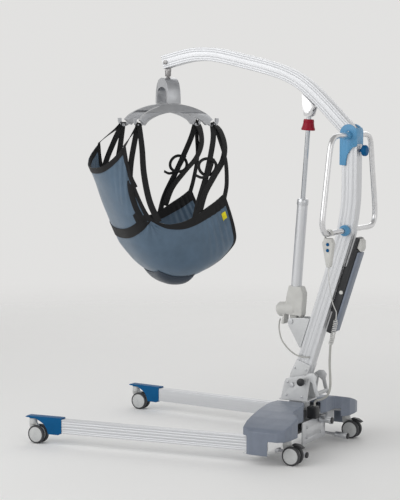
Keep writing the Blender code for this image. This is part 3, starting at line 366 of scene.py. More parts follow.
def worked(mesh, *steps):
    """Run modifiers, each (type, {settings}), and return the resulting mesh."""
    holder = bpy.data.objects.new("work_tmp", mesh)
    bpy.context.scene.collection.objects.link(holder)
    for kind, settings in steps:
        step = holder.modifiers.new(kind.lower(), kind)
        for key, value in settings.items():
            setattr(step, key, value)
    result = bpy.data.meshes.new_from_object(holder.evaluated_get(bpy.context.evaluated_depsgraph_get()))
    bpy.data.objects.remove(holder, do_unlink=True)
    return result


def outward(mesh):
    """Point the normals outward."""
    bm = bmesh.new()
    bm.from_mesh(mesh)
    bmesh.ops.recalc_face_normals(bm, faces=bm.faces[:])
    bm.to_mesh(mesh)
    bm.free()
    return mesh


def cut(mesh, *others):
    """Take each other mesh away from mesh."""
    mesh = outward(mesh)
    for other in others:
        tool = bpy.data.objects.new("tool_tmp", outward(other))
        bpy.context.scene.collection.objects.link(tool)
        mesh = worked(mesh, ("BOOLEAN", {"operation": "DIFFERENCE", "solver": "EXACT", "use_self": True,
                                    "object": tool}))
        bpy.data.objects.remove(tool, do_unlink=True)
    return mesh


def edged(mesh, width, segments=3, angle=30.0):
    """Round the sharp edges and keep the flat faces flat."""
    return worked(mesh, ("BEVEL", {"width": width, "segments": segments, "limit_method": "ANGLE",
                                   "angle_limit": math.radians(angle), "use_clamp_overlap": True,
                                   "miter_outer": "MITER_ARC", "harden_normals": False}))


def merged(*meshes):
    """Several meshes as one."""
    bm = bmesh.new()
    for mesh in meshes:
        bm.from_mesh(mesh)
    result = bpy.data.meshes.new("merged")
    bm.to_mesh(result)
    bm.free()
    return result


def mirrored(mesh):
    """Mirror image on the other side of the middle plane."""
    copy = mesh.copy()
    copy.transform(Matrix.Scale(-1.0, 4, (0.0, 1.0, 0.0)))
    copy.flip_normals()
    return copy


def place(name, mesh, mat, body, slot, replaces=(), crease=34.0, drawing=True, rides=True):
    """Add a finished piece to a body, with soft shading up to the crease angle."""
    outward(mesh)
    if drawing:
        mesh.transform(Matrix.Translation(SHIFT))
    obj = bpy.data.objects.new(name, mesh)
    bpy.context.scene.collection.objects.link(obj)
    mesh.materials.clear()
    mesh.materials.append(mat)
    for polygon in mesh.polygons:
        polygon.use_smooth = True
    if crease < 180.0:
        mesh.set_sharp_from_angle(angle=math.radians(crease))
    if rides:
        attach(obj, body)
    if replaces:
        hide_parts(*([replaces] if isinstance(replaces, str) else replaces))
    return obj


def node_mesh(node):
    """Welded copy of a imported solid's mesh, with flat regions joined up."""
    mesh = frame["nodes"][node].data.copy()
    bm = bmesh.new()
    bm.from_mesh(mesh)
    bmesh.ops.remove_doubles(bm, verts=bm.verts[:], dist=2e-5)
    bmesh.ops.dissolve_limit(bm, angle_limit=math.radians(0.8), verts=bm.verts[:], edges=bm.edges[:],
                             use_dissolve_boundaries=False)
    bm.to_mesh(mesh)
    bm.free()
    return mesh


def body_of_node(node):
    """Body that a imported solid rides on."""
    return next(body for body, nodes in frame["record"]["behaviour"]["bodies"].items() if node in nodes)


def slot_of_node(node):
    """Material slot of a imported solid."""
    return next(p["material_slot"] for p in frame["record"]["subparts"] if p["node"] == node)


def dress(node, mat, width=0.0008, segments=2, crease=34.0, angle=32.0):
    """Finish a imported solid: same shape, eased edges and a real surface."""
    mesh = edged(node_mesh(node), width, segments, angle)
    return place(node + "_skin", mesh, mat, body_of_node(node), slot_of_node(node), node, crease, False)


def soften(node, mat, voxel, rounds):
    """Finish a moulded solid: remesh it and relax it into one flowing skin."""
    mesh = worked(node_mesh(node), ("REMESH", {"mode": "VOXEL", "voxel_size": voxel}),
                  ("SMOOTH", {"factor": 0.5, "iterations": rounds}))
    return place(node + "_skin", mesh, mat, body_of_node(node), slot_of_node(node), node, 180.0, False)


# ---------------------------------------------------------------- legs
def rounded_section(outline, radius, steps=4):
    """Round every corner of a closed outline that turns sharply."""
    result = []
    count = len(outline)
    for i in range(count):
        here = Vector(outline[i])
        back = Vector(outline[i - 1]) - here
        ahead = Vector(outline[(i + 1) % count]) - here
        reach = min(radius, back.length * 0.45, ahead.length * 0.45)
        a = here + back.normalized() * reach
        b = here + ahead.normalized() * reach
        for k in range(steps + 1):
            t = k / steps
            spot = a * (1 - t) ** 2 + here * 2 * t * (1 - t) + b * t * t
            result.append((spot.x, spot.y))
    return result


def grooved(start, end, spots, depth, width):
    """Straight edge from start to end with shallow grooves at the given distances along it."""
    start = Vector(start)
    way = (Vector(end) - start).normalized()
    inward = Vector((-way.y, way.x))
    line = [start]
    for spot in spots:
        line += [start + way * (spot - width / 2), start + way * (spot - width / 2 + depth) + inward * depth,
                 start + way * (spot + width / 2 - depth) + inward * depth, start + way * (spot + width / 2)]
    return [(p.x, p.y) for p in line]


leg_way = Vector((LEG_TOE[0] - LEG_PIVOT[0], -(LEG_TOE[1] - LEG_PIVOT[1]), 0.0)).normalized()
leg_turn = Matrix.Rotation(math.atan2(leg_way.y, leg_way.x) - math.pi, 4, "Z")
leg_place = Matrix.Translation((LEG_PIVOT[0], -LEG_PIVOT[1], 0.0)) @ leg_turn
leg_length = math.hypot(LEG_TOE[0] - LEG_PIVOT[0], LEG_TOE[1] - LEG_PIVOT[1])
leg_front = -leg_length + 0.1453
TAPER_FROM, LEG_END, TAPER = -0.010, 0.0124, 0.78


def leg():
    """Leg profile: outer face with T-slot lips and grooves, plain inner face, folded top edge."""
    outer = grooved((-LEG_HALF, LEG_HIGH), (-LEG_HALF, LEG_LOW),
                    (0.0095, 0.0200, 0.0330, 0.0450, 0.0520), 0.0018,
                    0.0042)
    section = outer + [(-LEG_HALF, LEG_LOW), (LEG_HALF, LEG_LOW), (LEG_HALF, LEG_HIGH - 0.006),
                       (LEG_HALF - 0.0012, LEG_HIGH - 0.005), (LEG_HALF - 0.0012, LEG_HIGH)]
    section = rounded_section(section, 0.0016, 3)
    path = [leg_front, leg_front + 0.0006] + [leg_front + 0.06 * k for k in range(1, 16)]
    path += [TAPER_FROM, 0.0118, LEG_END]
    rows = []
    for k, along in enumerate(path):
        ease = 0.97 if k in (0, len(path) - 1) else 1.0
        narrow = ease * (1.0 - TAPER * max(0.0, along - TAPER_FROM) / (LEG_END - TAPER_FROM))
        rows.append([Vector((along, a * narrow, LEG_LOW + 0.03 + (b - LEG_LOW - 0.03) * ease))
                     for a, b in section])
    girth = lengths([Vector((a, b, 0)) for a, b in section + [section[0]]])
    bar = grid(rows, uvs=lambda i, j: (path[min(i, len(path) - 1)], girth[j]))
    bar.transform(leg_place)
    return bar


place("leg_left_profile", leg(), ANODISED, "leg_left_body", "anodised_aluminium", "leg_left", 28.0)
place("leg_right_profile", mirrored(leg()), ANODISED, "leg_right_body", "anodised_aluminium", "leg_right",
      28.0)

for tag in ("left", "right"):
    dress("leg_cap_" + tag, BLUE, 0.0022, 4)


# ---------------------------------------------------------------- castors
def castor(tag):
    """Twin wheels: grey flat hub discs with a ring step and dark tyres; the moulded hood over them is dressed
    separately from the fork solid.
    """
    x, y = CASTORS[tag]
    axle = x + 0.026
    body = "wheels_" + tag
    tyres = []
    hubs = []
    for side in (-1.0, 1.0):
        start = (axle, y + side * 0.0085, 0.040)
        end = (axle, y + side * 0.2, 0.040)
        tyres.append(turned([(0.0310, 0.0012), (0.0372, 0.0004), (0.0392, 0.0022), (0.0400, 0.0055),
                             (0.0400, 0.0105), (0.0392, 0.0138), (0.0372, 0.0156), (0.0322, 0.0160),
                             (0.0310, 0.0150)], start, end, 72))
        hubs.append(turned([(0.0060, 0.0), (0.0300, 0.0006), (0.0325, 0.0100), (0.0325, 0.0158),
                            (0.0312, 0.0166), (0.0300, 0.0166), (0.0294, 0.0160), (0.0288, 0.0162),
                            (0.0280, 0.0167), (0.0070, 0.0168), (0.0064, 0.0162), (0.0050, 0.0162),
                            (0.0, 0.0164)],
                           start, end, 72))
    hubs.append(turned([(0.0048, 0.0), (0.0048, 0.024)], (axle, y - 0.012, 0.040), (axle, y + 0.2, 0.040),
                       32))
    tyre = place("tyres_" + tag, merged(*tyres), RUBBER, body, "tyre_rubber", "castor_wheels_" + tag, 50.0)
    place("hubs_" + tag, merged(*hubs), HUB, body, "light_grey_plastic", (), 40.0)
    return tyre


for tag in CASTORS:
    castor(tag)
    hood = dress("castor_fork_" + tag, HUB, 0.0016, 3)
for tag in ("left", "right"):
    dress("brake_lever_" + tag, BLACK, 0.0014, 3)
    dress("foot_pedal_" + tag, STEEL, 0.0008, 3)
    soften("rear_cover_" + tag, SLATE, 0.0022, 9)

# ---------------------------------------------------------------- base and foot
for node, mat, width in (("base_crossbeam", STEEL, 0.0012), ("rear_plate", STEEL, 0.0008),
                         ("leg_drive_motor", BLACK, 0.0015), ("push_bar", CHROME, 0.0010),
                         ("cable_gland", BLACK, 0.0010), ("foot_bracket", BRACKET, 0.0010),
                         ("fold_pin", STEEL, 0.0008), ("lock_rod", BLACK, 0.0014),
                         ("lock_lever", BRACKET, 0.0012), ("mast_tongue", BRACKET, 0.0010),
                         ("boom_pivot_pin", STEEL, 0.0008), ("actuator_foot_pin", STEEL, 0.0008),
                         ("actuator_bracket", BRACKET, 0.0010), ("boom_ear", HANDLE, 0.0009),
                         ("mast_head", HEAD_BLUE, 0.0022), ("handle_boss", HEAD_BLUE, 0.0010),
                         # hanger_link: chrome darkened as a painted reflection
                         ("head_knob", BLUE, 0.0020), ("hanger_link", DARK_REFLECTION_STEEL, 0.0010),
                         ("control_box", BLACK, 0.0022), ("battery", SLATE, 0.0022),
                         ("battery_latch", PALE, 0.0024), ("stop_button", PALE, 0.0008),
                         ("handset_button_up", BLUE, 0.0006), ("handset_button_down", BLUE, 0.0006)):
    dress(node, mat, width, 3)


def bolts(name, places, body, length=0.0035, radius=0.0050):
    """Button-head screws with a hex socket; each place is (point, direction)."""
    heads = []
    for point, way in places:
        start = Vector(point)
        end = start + Vector(way)
        head = turned([(radius, 0.0), (radius, length * 0.35), (radius * 0.86, length * 0.80),
                       (radius * 0.55, length), (radius * 0.42, length), (radius * 0.40, length * 0.45),
                       (0.0, length * 0.45)], start, end, 6 * 6)
        heads.append(head)
    return place(name, merged(*heads), STEEL, body, "brushed_steel", (), 40.0)


def grip_sleeve(name, start, end, radius, inner, body):
    """Steel sleeve with a black end cap, pushed over a bar from start to end."""
    start, end = Vector(start), Vector(end)
    long = (end - start).length
    sleeve = turned([(inner, 0.0), (radius - 0.0007, 0.0006), (radius, 0.0020), (radius, long - 0.0080),
                     (radius - 0.0007, long - 0.0070), (inner, long - 0.0068)], start, end, 48)
    cap = turned([(inner, long - 0.0066), (radius, long - 0.0062), (radius + 0.0003, long - 0.0040),
                  (radius - 0.0006, long - 0.0004), (radius - 0.0030, long), (0.0, long)], start, end, 48)
    place(name, sleeve, STEEL, body, "brushed_steel", (), 40.0)
    place(name + "_cap", cap, BLACK, body, "black_plastic", (), 40.0)


PEDAL_OUT = 0.215
for side, tag in ((-1.0, "left"), (1.0, "right")):
    grip_sleeve("pedal_sleeve_" + tag, (-0.036, side * PEDAL_OUT, 0.0296), (0.0266, side * PEDAL_OUT, 0.0258),
                0.0125, 0.0056, "pedal_%s_body" % tag)
grip_sleeve("push_bar_sleeve", (-0.0405, 0.060, 0.122), (0.0186, 0.060, 0.122), 0.0132, 0.0071, "base")

bolts("foot_bracket_screws", [((x, side * 0.0470, z), (0.0, side, 0.0)) for side in (-1.0, 1.0)
                              for x, z in ((-0.150, 0.235), (-0.078, 0.232), (-0.145, 0.292))], "base")
bolts("mast_tongue_screws", [((x, side * 0.0337, z), (0.0, side, 0.0)) for side in (-1.0, 1.0)
                             for x, z in ((-0.118, 0.352), (-0.066, 0.345))], "mast_body", 0.0030, 0.0045)
bolts("rear_plate_screws", [((-0.0420, y, z), (1.0, 0.0, 0.0)) for y in (-0.070, 0.070)
                            for z in (0.065, 0.108)],
      "base", 0.0040, 0.0062)

# ---------------------------------------------------------------- column and boom
column_path = smooth(MAST_PATH, 8)
side_groove = (0.0135, 0.0185, 0.0320, 0.0490, 0.0540)
half_w, half_d = MAST_WIDTH / 2.0, MAST_DEPTH / 2.0
mast_section = (grooved((-half_w, half_d), (-half_w, -half_d), side_groove, 0.0011, 0.0032)
                + [(-half_w, -half_d)]
                + grooved((-half_w + 0.001, -half_d), (half_w, -half_d), (0.027,), 0.0020, 0.0100)
                + grooved((half_w, -half_d), (half_w, half_d), [MAST_DEPTH - s for s in side_groove[::-1]],
                          0.0011, 0.0032) + [(half_w, half_d)])
mast_section = rounded_section(mast_section, 0.0032, 3)
column = profile(column_path, mast_section)
sweep = (arc(FOLD_PIN[0], FOLD_PIN[1], 0.0480, -85.0, 21.0, 14)
         + [(LOCK_ROD[0] - 0.006, LOCK_ROD[1] + 0.005), (LOCK_ROD[0] + 0.002, LOCK_ROD[1] + 0.0085)]
         + arc(FOLD_PIN[0], FOLD_PIN[1], 0.0800, 27.0, -85.0, 14))
fold_bore = turned([(0.0055, -0.06), (0.0055, 0.06)], (FOLD_PIN[0], 0.0, FOLD_PIN[1]),
                   (FOLD_PIN[0], 1.0, FOLD_PIN[1]), 24)
boss_bore = turned([(0.0083, -0.06), (0.0083, 0.06)], (0.104, 0.0, 0.943), (0.104, 1.0, 0.943), 24)
column = cut(column, plate(sweep, 0.2), fold_bore, boss_bore)
place("mast_profile", column, ANODISED, "mast_body", "anodised_aluminium", "mast", 28.0)

half_w, half_d = BOOM_WIDTH / 2.0, BOOM_HEIGHT / 2.0
boom_groove = (0.0085, 0.0180, 0.0400, 0.0495)
boom_section = (grooved((-half_w, half_d), (-half_w, -half_d), boom_groove, 0.0012, 0.0034)
                + [(-half_w, -half_d)]
                + grooved((half_w, -half_d), (half_w, half_d), boom_groove, 0.0012, 0.0034)
                + [(half_w, half_d)])
boom_section = rounded_section(boom_section, 0.0040, 3)
boom = profile(smooth(BOOM_PATH, 14), boom_section)
knuckle = turned([(0.0275, -0.0240), (0.0290, -0.0225), (0.0290, 0.0225), (0.0275, 0.0240)],
                 (BOOM_PIVOT[0], 0.0, BOOM_PIVOT[1]), (BOOM_PIVOT[0], 1.0, BOOM_PIVOT[1]), 64)
slot_block = brick((0.060, 0.018, 0.090), (HANGER_X + 0.004, 0.0, 1.632))
tip_bore = turned([(0.0058, -0.06), (0.0058, 0.06)], (HANGER_X, 0.0, 1.640), (HANGER_X, 1.0, 1.640), 24)
pivot_bore = turned([(0.0086, -0.06), (0.0086, 0.06)], (0.115, 0.0, 1.345), (0.115, 1.0, 1.345), 24)
boom = cut(boom, slot_block, tip_bore, pivot_bore)
place("boom_profile", boom, ANODISED, "boom_body", "anodised_aluminium", "boom", 28.0)
place("boom_knuckle", cut(knuckle, pivot_bore), ANODISED, "boom_body", "anodised_aluminium", (), 40.0)

handle_path = [(0.118, -0.0365, 1.336), (0.118, -0.100, 1.337), (0.117, -0.150, 1.337), (0.116, -0.186, 1.328),
               (0.115, -0.208, 1.306), (0.114, -0.219, 1.276), (0.113, -0.232, 1.215), (0.112, -0.262, 1.080),
               (0.111, -0.276, 1.010), (0.110, -0.274, 0.976), (0.109, -0.256, 0.952), (0.107, -0.226, 0.943),
               (0.104, -0.150, 0.943), (0.104, -0.100, 0.943), (0.104, -0.0535, 0.943)]
grip, _ = tube(handle_path, 0.0115, 8, 28)
place("handle_right_tube", mirrored(grip), HANDLE, "mast_body", "anodised_aluminium", "handle_right", 60.0)
place("handle_left_tube", grip, HANDLE, "mast_body", "anodised_aluminium", "handle_left", 60.0)
for side, tag in ((-1.0, "left"), (1.0, "right")):
    collar = turned([(0.0117, 0.0), (0.0150, 0.0004), (0.0158, 0.0020), (0.0158, 0.0300), (0.0146, 0.0350),
                     (0.0120, 0.0362), (0.0117, 0.0362)], (0.118, side * 0.0362, 1.336),
                    (0.118, side * 0.2, 1.337), 48)
    place("handle_collar_" + tag, collar, HEAD_BLUE, "mast_body", "light_blue_plastic", (), 40.0)

# ---------------------------------------------------------------- lifting actuator
ram_way = (RAM_EYE - RAM_FOOT).normalized()
ram_length = (RAM_EYE - RAM_FOOT).length


def on_ram(outline, sides=64):
    """Turned piece on the actuator's line, with distances from its foot pin."""
    return turned(outline, RAM_FOOT, RAM_FOOT + ram_way, sides)


soften("actuator_motor", PALE, 0.0016, 6)
place("actuator_tube_skin", on_ram([(0.0104, 0.1003), (0.0220, 0.1003), (0.0225, 0.1010), (0.0225, 0.4945),
                                    (0.0104, 0.4950)]), ANODISED, "actuator_body",
      "light_grey_plastic", "actuator_tube", 34.0)
place("actuator_collar", on_ram([(0.0104, 0.4952), (0.0238, 0.4952), (0.0246, 0.4962),
                                 (0.0246, 0.5020), (0.0240, 0.5026),
                                 (0.0240, 0.5040), (0.0246, 0.5046), (0.0246, 0.5128), (0.0236, 0.5150),
                                 (0.0215, 0.5196), (0.0190, 0.5200), (0.0104, 0.5200)]), STEEL, "actuator_body",
      "brushed_steel", (), 34.0)
rod = on_ram([(0.0100, 0.470), (0.0100, ram_length - 0.0125), (0.0090, ram_length - 0.0120)], 48)
eye = turned([(0.0125, -0.0150), (0.0140, -0.0138), (0.0140, 0.0138), (0.0125, 0.0150)], RAM_EYE,
             RAM_EYE + Vector((0.0, 1.0, 0.0)), 48)
place("piston_rod_skin", merged(rod, eye), CHROME, "piston_body", "chrome", "piston_rod", 34.0)
bell = ram_length - 0.075
place("sleeve_skin", on_ram([(0.0180, bell + 0.0290), (0.0262, bell + 0.0010), (0.0285, bell),
                             (0.0292, bell + 0.0030), (0.0286, bell + 0.0075), (0.0262, bell + 0.0130),
                             (0.0243, bell + 0.0210),
                             (0.0228, bell + 0.0300), (0.0222, bell + 0.0345), (0.0230, bell + 0.0360),
                             (0.0230, bell + 0.0385), (0.0218, bell + 0.0400), (0.0212, bell + 0.0455),
                             (0.0196, bell + 0.0460), (0.0104, bell + 0.0460), (0.0104, bell + 0.0290)]),
      RED, "sleeve_body", "red_plastic", "emergency_sleeve", 40.0)

# ---------------------------------------------------------------- handset and leads
dress("handset", PALE, 0.0020, 3)
HANDSET_Y = -0.205
lead_line = smooth([(0.109, HANDSET_Y, 0.8055), (0.108, HANDSET_Y, 0.770), (0.103, -0.180, 0.720),
                    (0.096, -0.135, 0.655), (0.091, -0.096, 0.622), (0.084, -0.066, 0.600),
                    (0.078, -0.060, 0.560), (0.068, -0.058, 0.515), (0.058, -0.052, 0.482),
                    (0.0475, -0.036, 0.470), (0.0440, -0.0285, 0.4715)], 16)
lead_run = lengths(lead_line)
COIL_FROM, COIL_TO, COIL_R, TURNS = 0.285, 0.420, 0.0080, 17


def coiled(line, run):
    """The lead's route with its middle stretch wound into a spring-like coil."""
    route = []
    side = Vector((1.0, 0.0, 0.0))
    for i, spot in enumerate(line):
        if not COIL_FROM <= run[i] <= COIL_TO:
            route.append(spot)
            continue
        if i and not COIL_FROM <= run[i - 1]:
            steps = TURNS * 14
            for k in range(steps + 1):
                t = k / steps
                want = COIL_FROM + (COIL_TO - COIL_FROM) * t
                n = next(m for m in range(len(run)) if run[m] >= want or m == len(run) - 1)
                a, b = line[n - 1], line[n]
                share = (want - run[n - 1]) / max(run[n] - run[n - 1], 1e-9)
                centre = a.lerp(b, min(max(share, 0.0), 1.0))
                ahead = (b - a).normalized()
                across = (side - ahead * side.dot(ahead)).normalized()
                other = ahead.cross(across)
                fade = min(t * 12.0, (1.0 - t) * 12.0, 1.0)
                angle = 2.0 * math.pi * TURNS * t
                route.append(centre + (across * math.cos(angle) + other * math.sin(angle)) * COIL_R * fade)
    return route


lead_route = coiled(lead_line, lead_run)
lead_mesh, lead_path = tube(lead_route, 0.0021, 1, 12)
handset_lead = place("handset_cord_skin", lead_mesh, COIL, "mast_body", "cable_grey", "handset_cord", 80.0)
motor_points = [(-0.200, -0.006, 0.553), (-0.202, -0.012, 0.536), (-0.194, -0.030, 0.510),
                (-0.178, -0.040, 0.470), (-0.150, -0.042, 0.436), (-0.118, -0.040, 0.412),
                (-0.090, -0.036, 0.402), (-0.070, -0.0335, 0.400), (-0.050, -0.0325, 0.402)]
motor_mesh, motor_path = tube(motor_points, 0.0030, 10, 16)
motor_lead = place("motor_cable_skin", motor_mesh, CORD, "mast_body", "cable_grey", "motor_cable", 80.0)
base_points = [(0.034, 0.004, 0.5030), (0.031, 0.004, 0.480), (0.026, 0.006, 0.425), (0.024, 0.008, 0.370),
               (0.027, 0.008, 0.320), (0.028, 0.006, 0.275), (0.018, 0.003, 0.240), (-0.006, 0.000, 0.222),
               (-0.028, 0.000, 0.2150), (-0.039, 0.000, 0.2050), (-0.040, 0.000, 0.1892)]
base_mesh, base_path = tube(base_points, 0.0050, 10, 18)
base_lead = place("base_cable_skin", base_mesh, CORD, "mast_body", "cable_grey", "base_cable", 80.0,
                  rides=False)
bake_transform(base_lead)

# ---------------------------------------------------------------- spreader
dress("yoke", CAST, 0.0042, 4)
for tag in ("left", "right"):
    dress("spreader_bar_" + tag, CAST, 0.0042, 4, 40.0, 40.0)

# ---------------------------------------------------------------- sling cloth
SLING_LINE = [(-0.345, 1.185), (-0.300, 1.090), (-0.262, 0.990), (-0.222, 0.895), (-0.170, 0.800),
              (-0.100, 0.718), (-0.010, 0.675), (0.080, 0.680), (0.170, 0.722), (0.245, 0.785), (0.290, 0.830)]
SLING_EDGE = [(-0.257, 1.290), (-0.242, 1.190), (-0.208, 1.085), (-0.156, 0.985), (-0.095, 0.953),
              (-0.045, 0.952), (0.000, 0.962), (0.050, 0.985), (0.098, 1.015), (0.146, 1.045), (0.186, 1.076)]
SLING_HALF = [0.170, 0.180, 0.190, 0.198, 0.205, 0.208, 0.208, 0.206, 0.202, 0.198, 0.195]
LINE = smooth([(a, b) for a, b in SLING_LINE], 12)
EDGE = smooth([(a, b) for a, b in SLING_EDGE], 12)
HALF = smooth([(a, 0.0) for a in SLING_HALF], 12)


def at(points, u):
    """Point of a polyline at u from 0 to 1."""
    spot = min(max(u, 0.0), 1.0) * (len(points) - 1)
    i = min(int(spot), len(points) - 2)
    return points[i].lerp(points[i + 1], spot - i)


def rest_point(u, v, drop=0.0):
    """Loaded shape of the sling: u from shoulders to knees, v from side to side."""
    low = at(LINE, u)
    high = at(EDGE, u)
    bump = max(0.0, 1.0 - ((u - 0.61) / 0.26) ** 2)
    if drop == "hammock":
        drop = max(0.0, 1.0 - (v / 0.235) ** 4) * max(0.0, 1.0 - ((u - 0.625) / 0.112) ** 4)
    low = low + (high - low).normalized() * 0.024 * bump * (1.0 - drop)
    angle = v * math.pi / 2.0
    spot = low.lerp(high, 1.0 - math.cos(angle))
    out = at(HALF, u).x * math.copysign(abs(math.sin(angle)) ** 0.75, angle)
    return Vector((spot.x, out, spot.y))


def folds(u, v):
    """Height of the gathers, creases and soft waves of the cloth, in metres."""
    side = abs(v)
    s, t = (u - 0.315) * 1.05, (0.93 - side) * 0.42
    reach = math.hypot(s, t)
    height = 0.0
    if s > -0.02:
        turn = math.atan2(t, s + 0.02)
        fan = math.cos(turn * 17.0 + 0.6 + 1.3 * math.sin(turn * 3.0))
        height += 0.0042 * fan * min(reach / 0.03, 1.0) * math.exp(-(reach / 0.13) ** 1.5)
    front = math.exp(-((u - 0.88) / 0.10) ** 2) * min(max((side - 0.35) / 0.4, 0.0), 1.0)
    height += 0.0030 * front * math.cos((u + 0.03 * side) * 2.0 * math.pi / 0.042)
    tail = math.exp(-((u - 0.10) / 0.09) ** 2) * min(max((side - 0.3) / 0.4, 0.0), 1.0)
    height += 0.0022 * tail * math.cos((side * 0.9 + u * 2.2) * 2.0 * math.pi / 0.16)
    ease = math.exp(-((side - 0.98) / 0.05) ** 2)
    wave = noise.noise(Vector((u * 5.0, v * 2.2, 0.3))) * 0.0050
    wave += noise.noise(Vector((u * 13.0, v * 5.0, 2.7))) * 0.0016
    return (height + wave) * (1.0 - 0.7 * ease)


def cloth_point(u, v, lift=0.0, drop=0.0):
    """Cloth surface with its folds, lifted outward by lift."""
    step = 0.002
    here = rest_point(u, v, drop)
    along = rest_point(u + step, v, drop) - rest_point(u - step, v, drop)
    across = rest_point(u, v + step, drop) - rest_point(u, v - step, drop)
    outwards = along.cross(across)
    outwards = outwards.normalized() if outwards.length > 1e-12 else Vector((0.0, 0.0, -1.0))
    if outwards.dot(here - Vector((0.0, 0.0, 1.05))) < 0.0:
        outwards = -outwards
    return here + outwards * (folds(u, v) + lift)


def leg_gap(s, v):
    """Pull the front edge back between the two leg flaps."""
    front = 1.0 - 0.24 * math.exp(-(v / 0.20) ** 2)
    return s if s < 0.6 else 0.6 + (s - 0.6) * (front - 0.6) / 0.4


def patch(us, vs, columns, rows, lift=0.0, thickness=0.0016, drop=0.0, offset=0.0):
    """Piece of cloth between the u limits and the v limits, which may be functions of u."""
    skin = []
    for i in range(columns + 1):
        s = us[0] + (us[1] - us[0]) * i / columns
        low = vs[0](s) if callable(vs[0]) else vs[0]
        high = vs[1](s) if callable(vs[1]) else vs[1]
        line = []
        for j in range(rows + 1):
            v = low + (high - low) * j / rows
            line.append(cloth_point(leg_gap(s, v), v, lift, drop))
        skin.append(line)
    middle = rows // 2
    run = lengths([line[middle] for line in skin])
    across = lengths(skin[len(skin) // 2])
    mesh = grid(skin, wrap_columns=False, caps=False, uvs=lambda i, j: (run[i], across[j]))
    return outward(worked(mesh, ("SOLIDIFY", {"thickness": thickness, "offset": offset})))


def hung(name, mesh, mat, slot, replaces=(), crease=60.0):
    """Add a piece of the sling at its turned place."""
    mesh.transform(YAW)
    return place(name, mesh, mat, "suspension_body", slot, replaces, crease)


panel = hung("sling_panel", patch((0.0, 1.0), (-1.0, 1.0), 170, 130), FABRIC, "sling_fabric", "sling_body",
             80.0)
# Darker sheet hung at the seat, coloured as painted shade for the seat's shaded underside
seat_shade_sheet = hung("sling_seat_painted_shade", patch((0.515, 0.735), (-0.23, 0.23), 40, 36, 0.0025, 0.0020, "hammock"),
              PAINTED_SHADE_CLOTH, "sling_fabric", (), 80.0)
hung("sling_top_binding", patch((0.0, 0.024), (-1.0, 1.0), 4, 110, 0.0, 0.0050), WEBBING,
                  "black_webbing")
hung("sling_front_binding", patch((0.972, 1.0), (-1.0, 1.0), 4, 110, 0.0, 0.0050), WEBBING,
                  "black_webbing")
hung("sling_waist_band", patch((0.272, 0.316), (-1.0, 1.0), 6, 110, 0.0005, 0.0062), WEBBING,
                  "black_webbing")
for side, tag in ((-1.0, "left"), (1.0, "right")):
    hung("sling_back_edge_" + tag, patch((0.0, 0.30), (side, side * 0.885), 50, 5, 0.0, 0.0052),
                      WEBBING, "black_webbing")
    hung("sling_leg_band_" + tag,
                      patch((0.285, 1.0), (side, lambda s, k=side: k * (1.0 - 0.055 - 0.085 * (s - 0.285))),
                            90, 6, 0.0, 0.0056), WEBBING, "black_webbing")
    hung("sling_buckle_pad_" + tag,
                      patch((0.240, 0.274), (side * 0.78, side * 0.62), 6, 8, 0.0016, 0.0060),
                      WEBBING, "black_webbing")
tag_piece = hung("sling_tag", patch((0.905, 0.945), (-0.850, -0.775), 6, 6, 0.0030, 0.0012), TAG,
                 "sling_fabric")


def webbing(points, width, across, thick=0.0024, twist=(0.0, 0.0), steps=8):
    """Flat strap along a smooth curve; across is the direction of its width."""
    path = smooth(points, steps)
    run = lengths(path)
    rows = []
    for i, spot in enumerate(path):
        way = (path[min(i + 1, len(path) - 1)] - path[max(i - 1, 0)]).normalized()
        wide = Vector(across) - way * way.dot(Vector(across))
        wide.normalize()
        turn = math.radians(twist[0] + (twist[1] - twist[0]) * i / (len(path) - 1))
        thin = way.cross(wide)
        wide, thin = (wide * math.cos(turn) + thin * math.sin(turn),
                      thin * math.cos(turn) - wide * math.sin(turn))
        w, h = width / 2.0, thick / 2.0
        ring = [(-w, -h * 0.5), (-w * 0.92, -h), (-w * 0.3, -h), (w * 0.3, -h), (w * 0.92, -h), (w, -h * 0.5),
                (w, h * 0.5), (w * 0.92, h), (w * 0.3, h), (-w * 0.3, h), (-w * 0.92, h), (-w, h * 0.5)]
        rows.append([spot + wide * a + thin * b for a, b in ring])
    spans = [-1.0, -0.92, -0.3, 0.3, 0.92, 1.0, 1.0, 0.92, 0.3, -0.3, -0.92, -1.0, -1.0]
    return grid(rows, uvs=lambda i, j: (run[min(i, len(run) - 1)], spans[j] * width / 2.0))


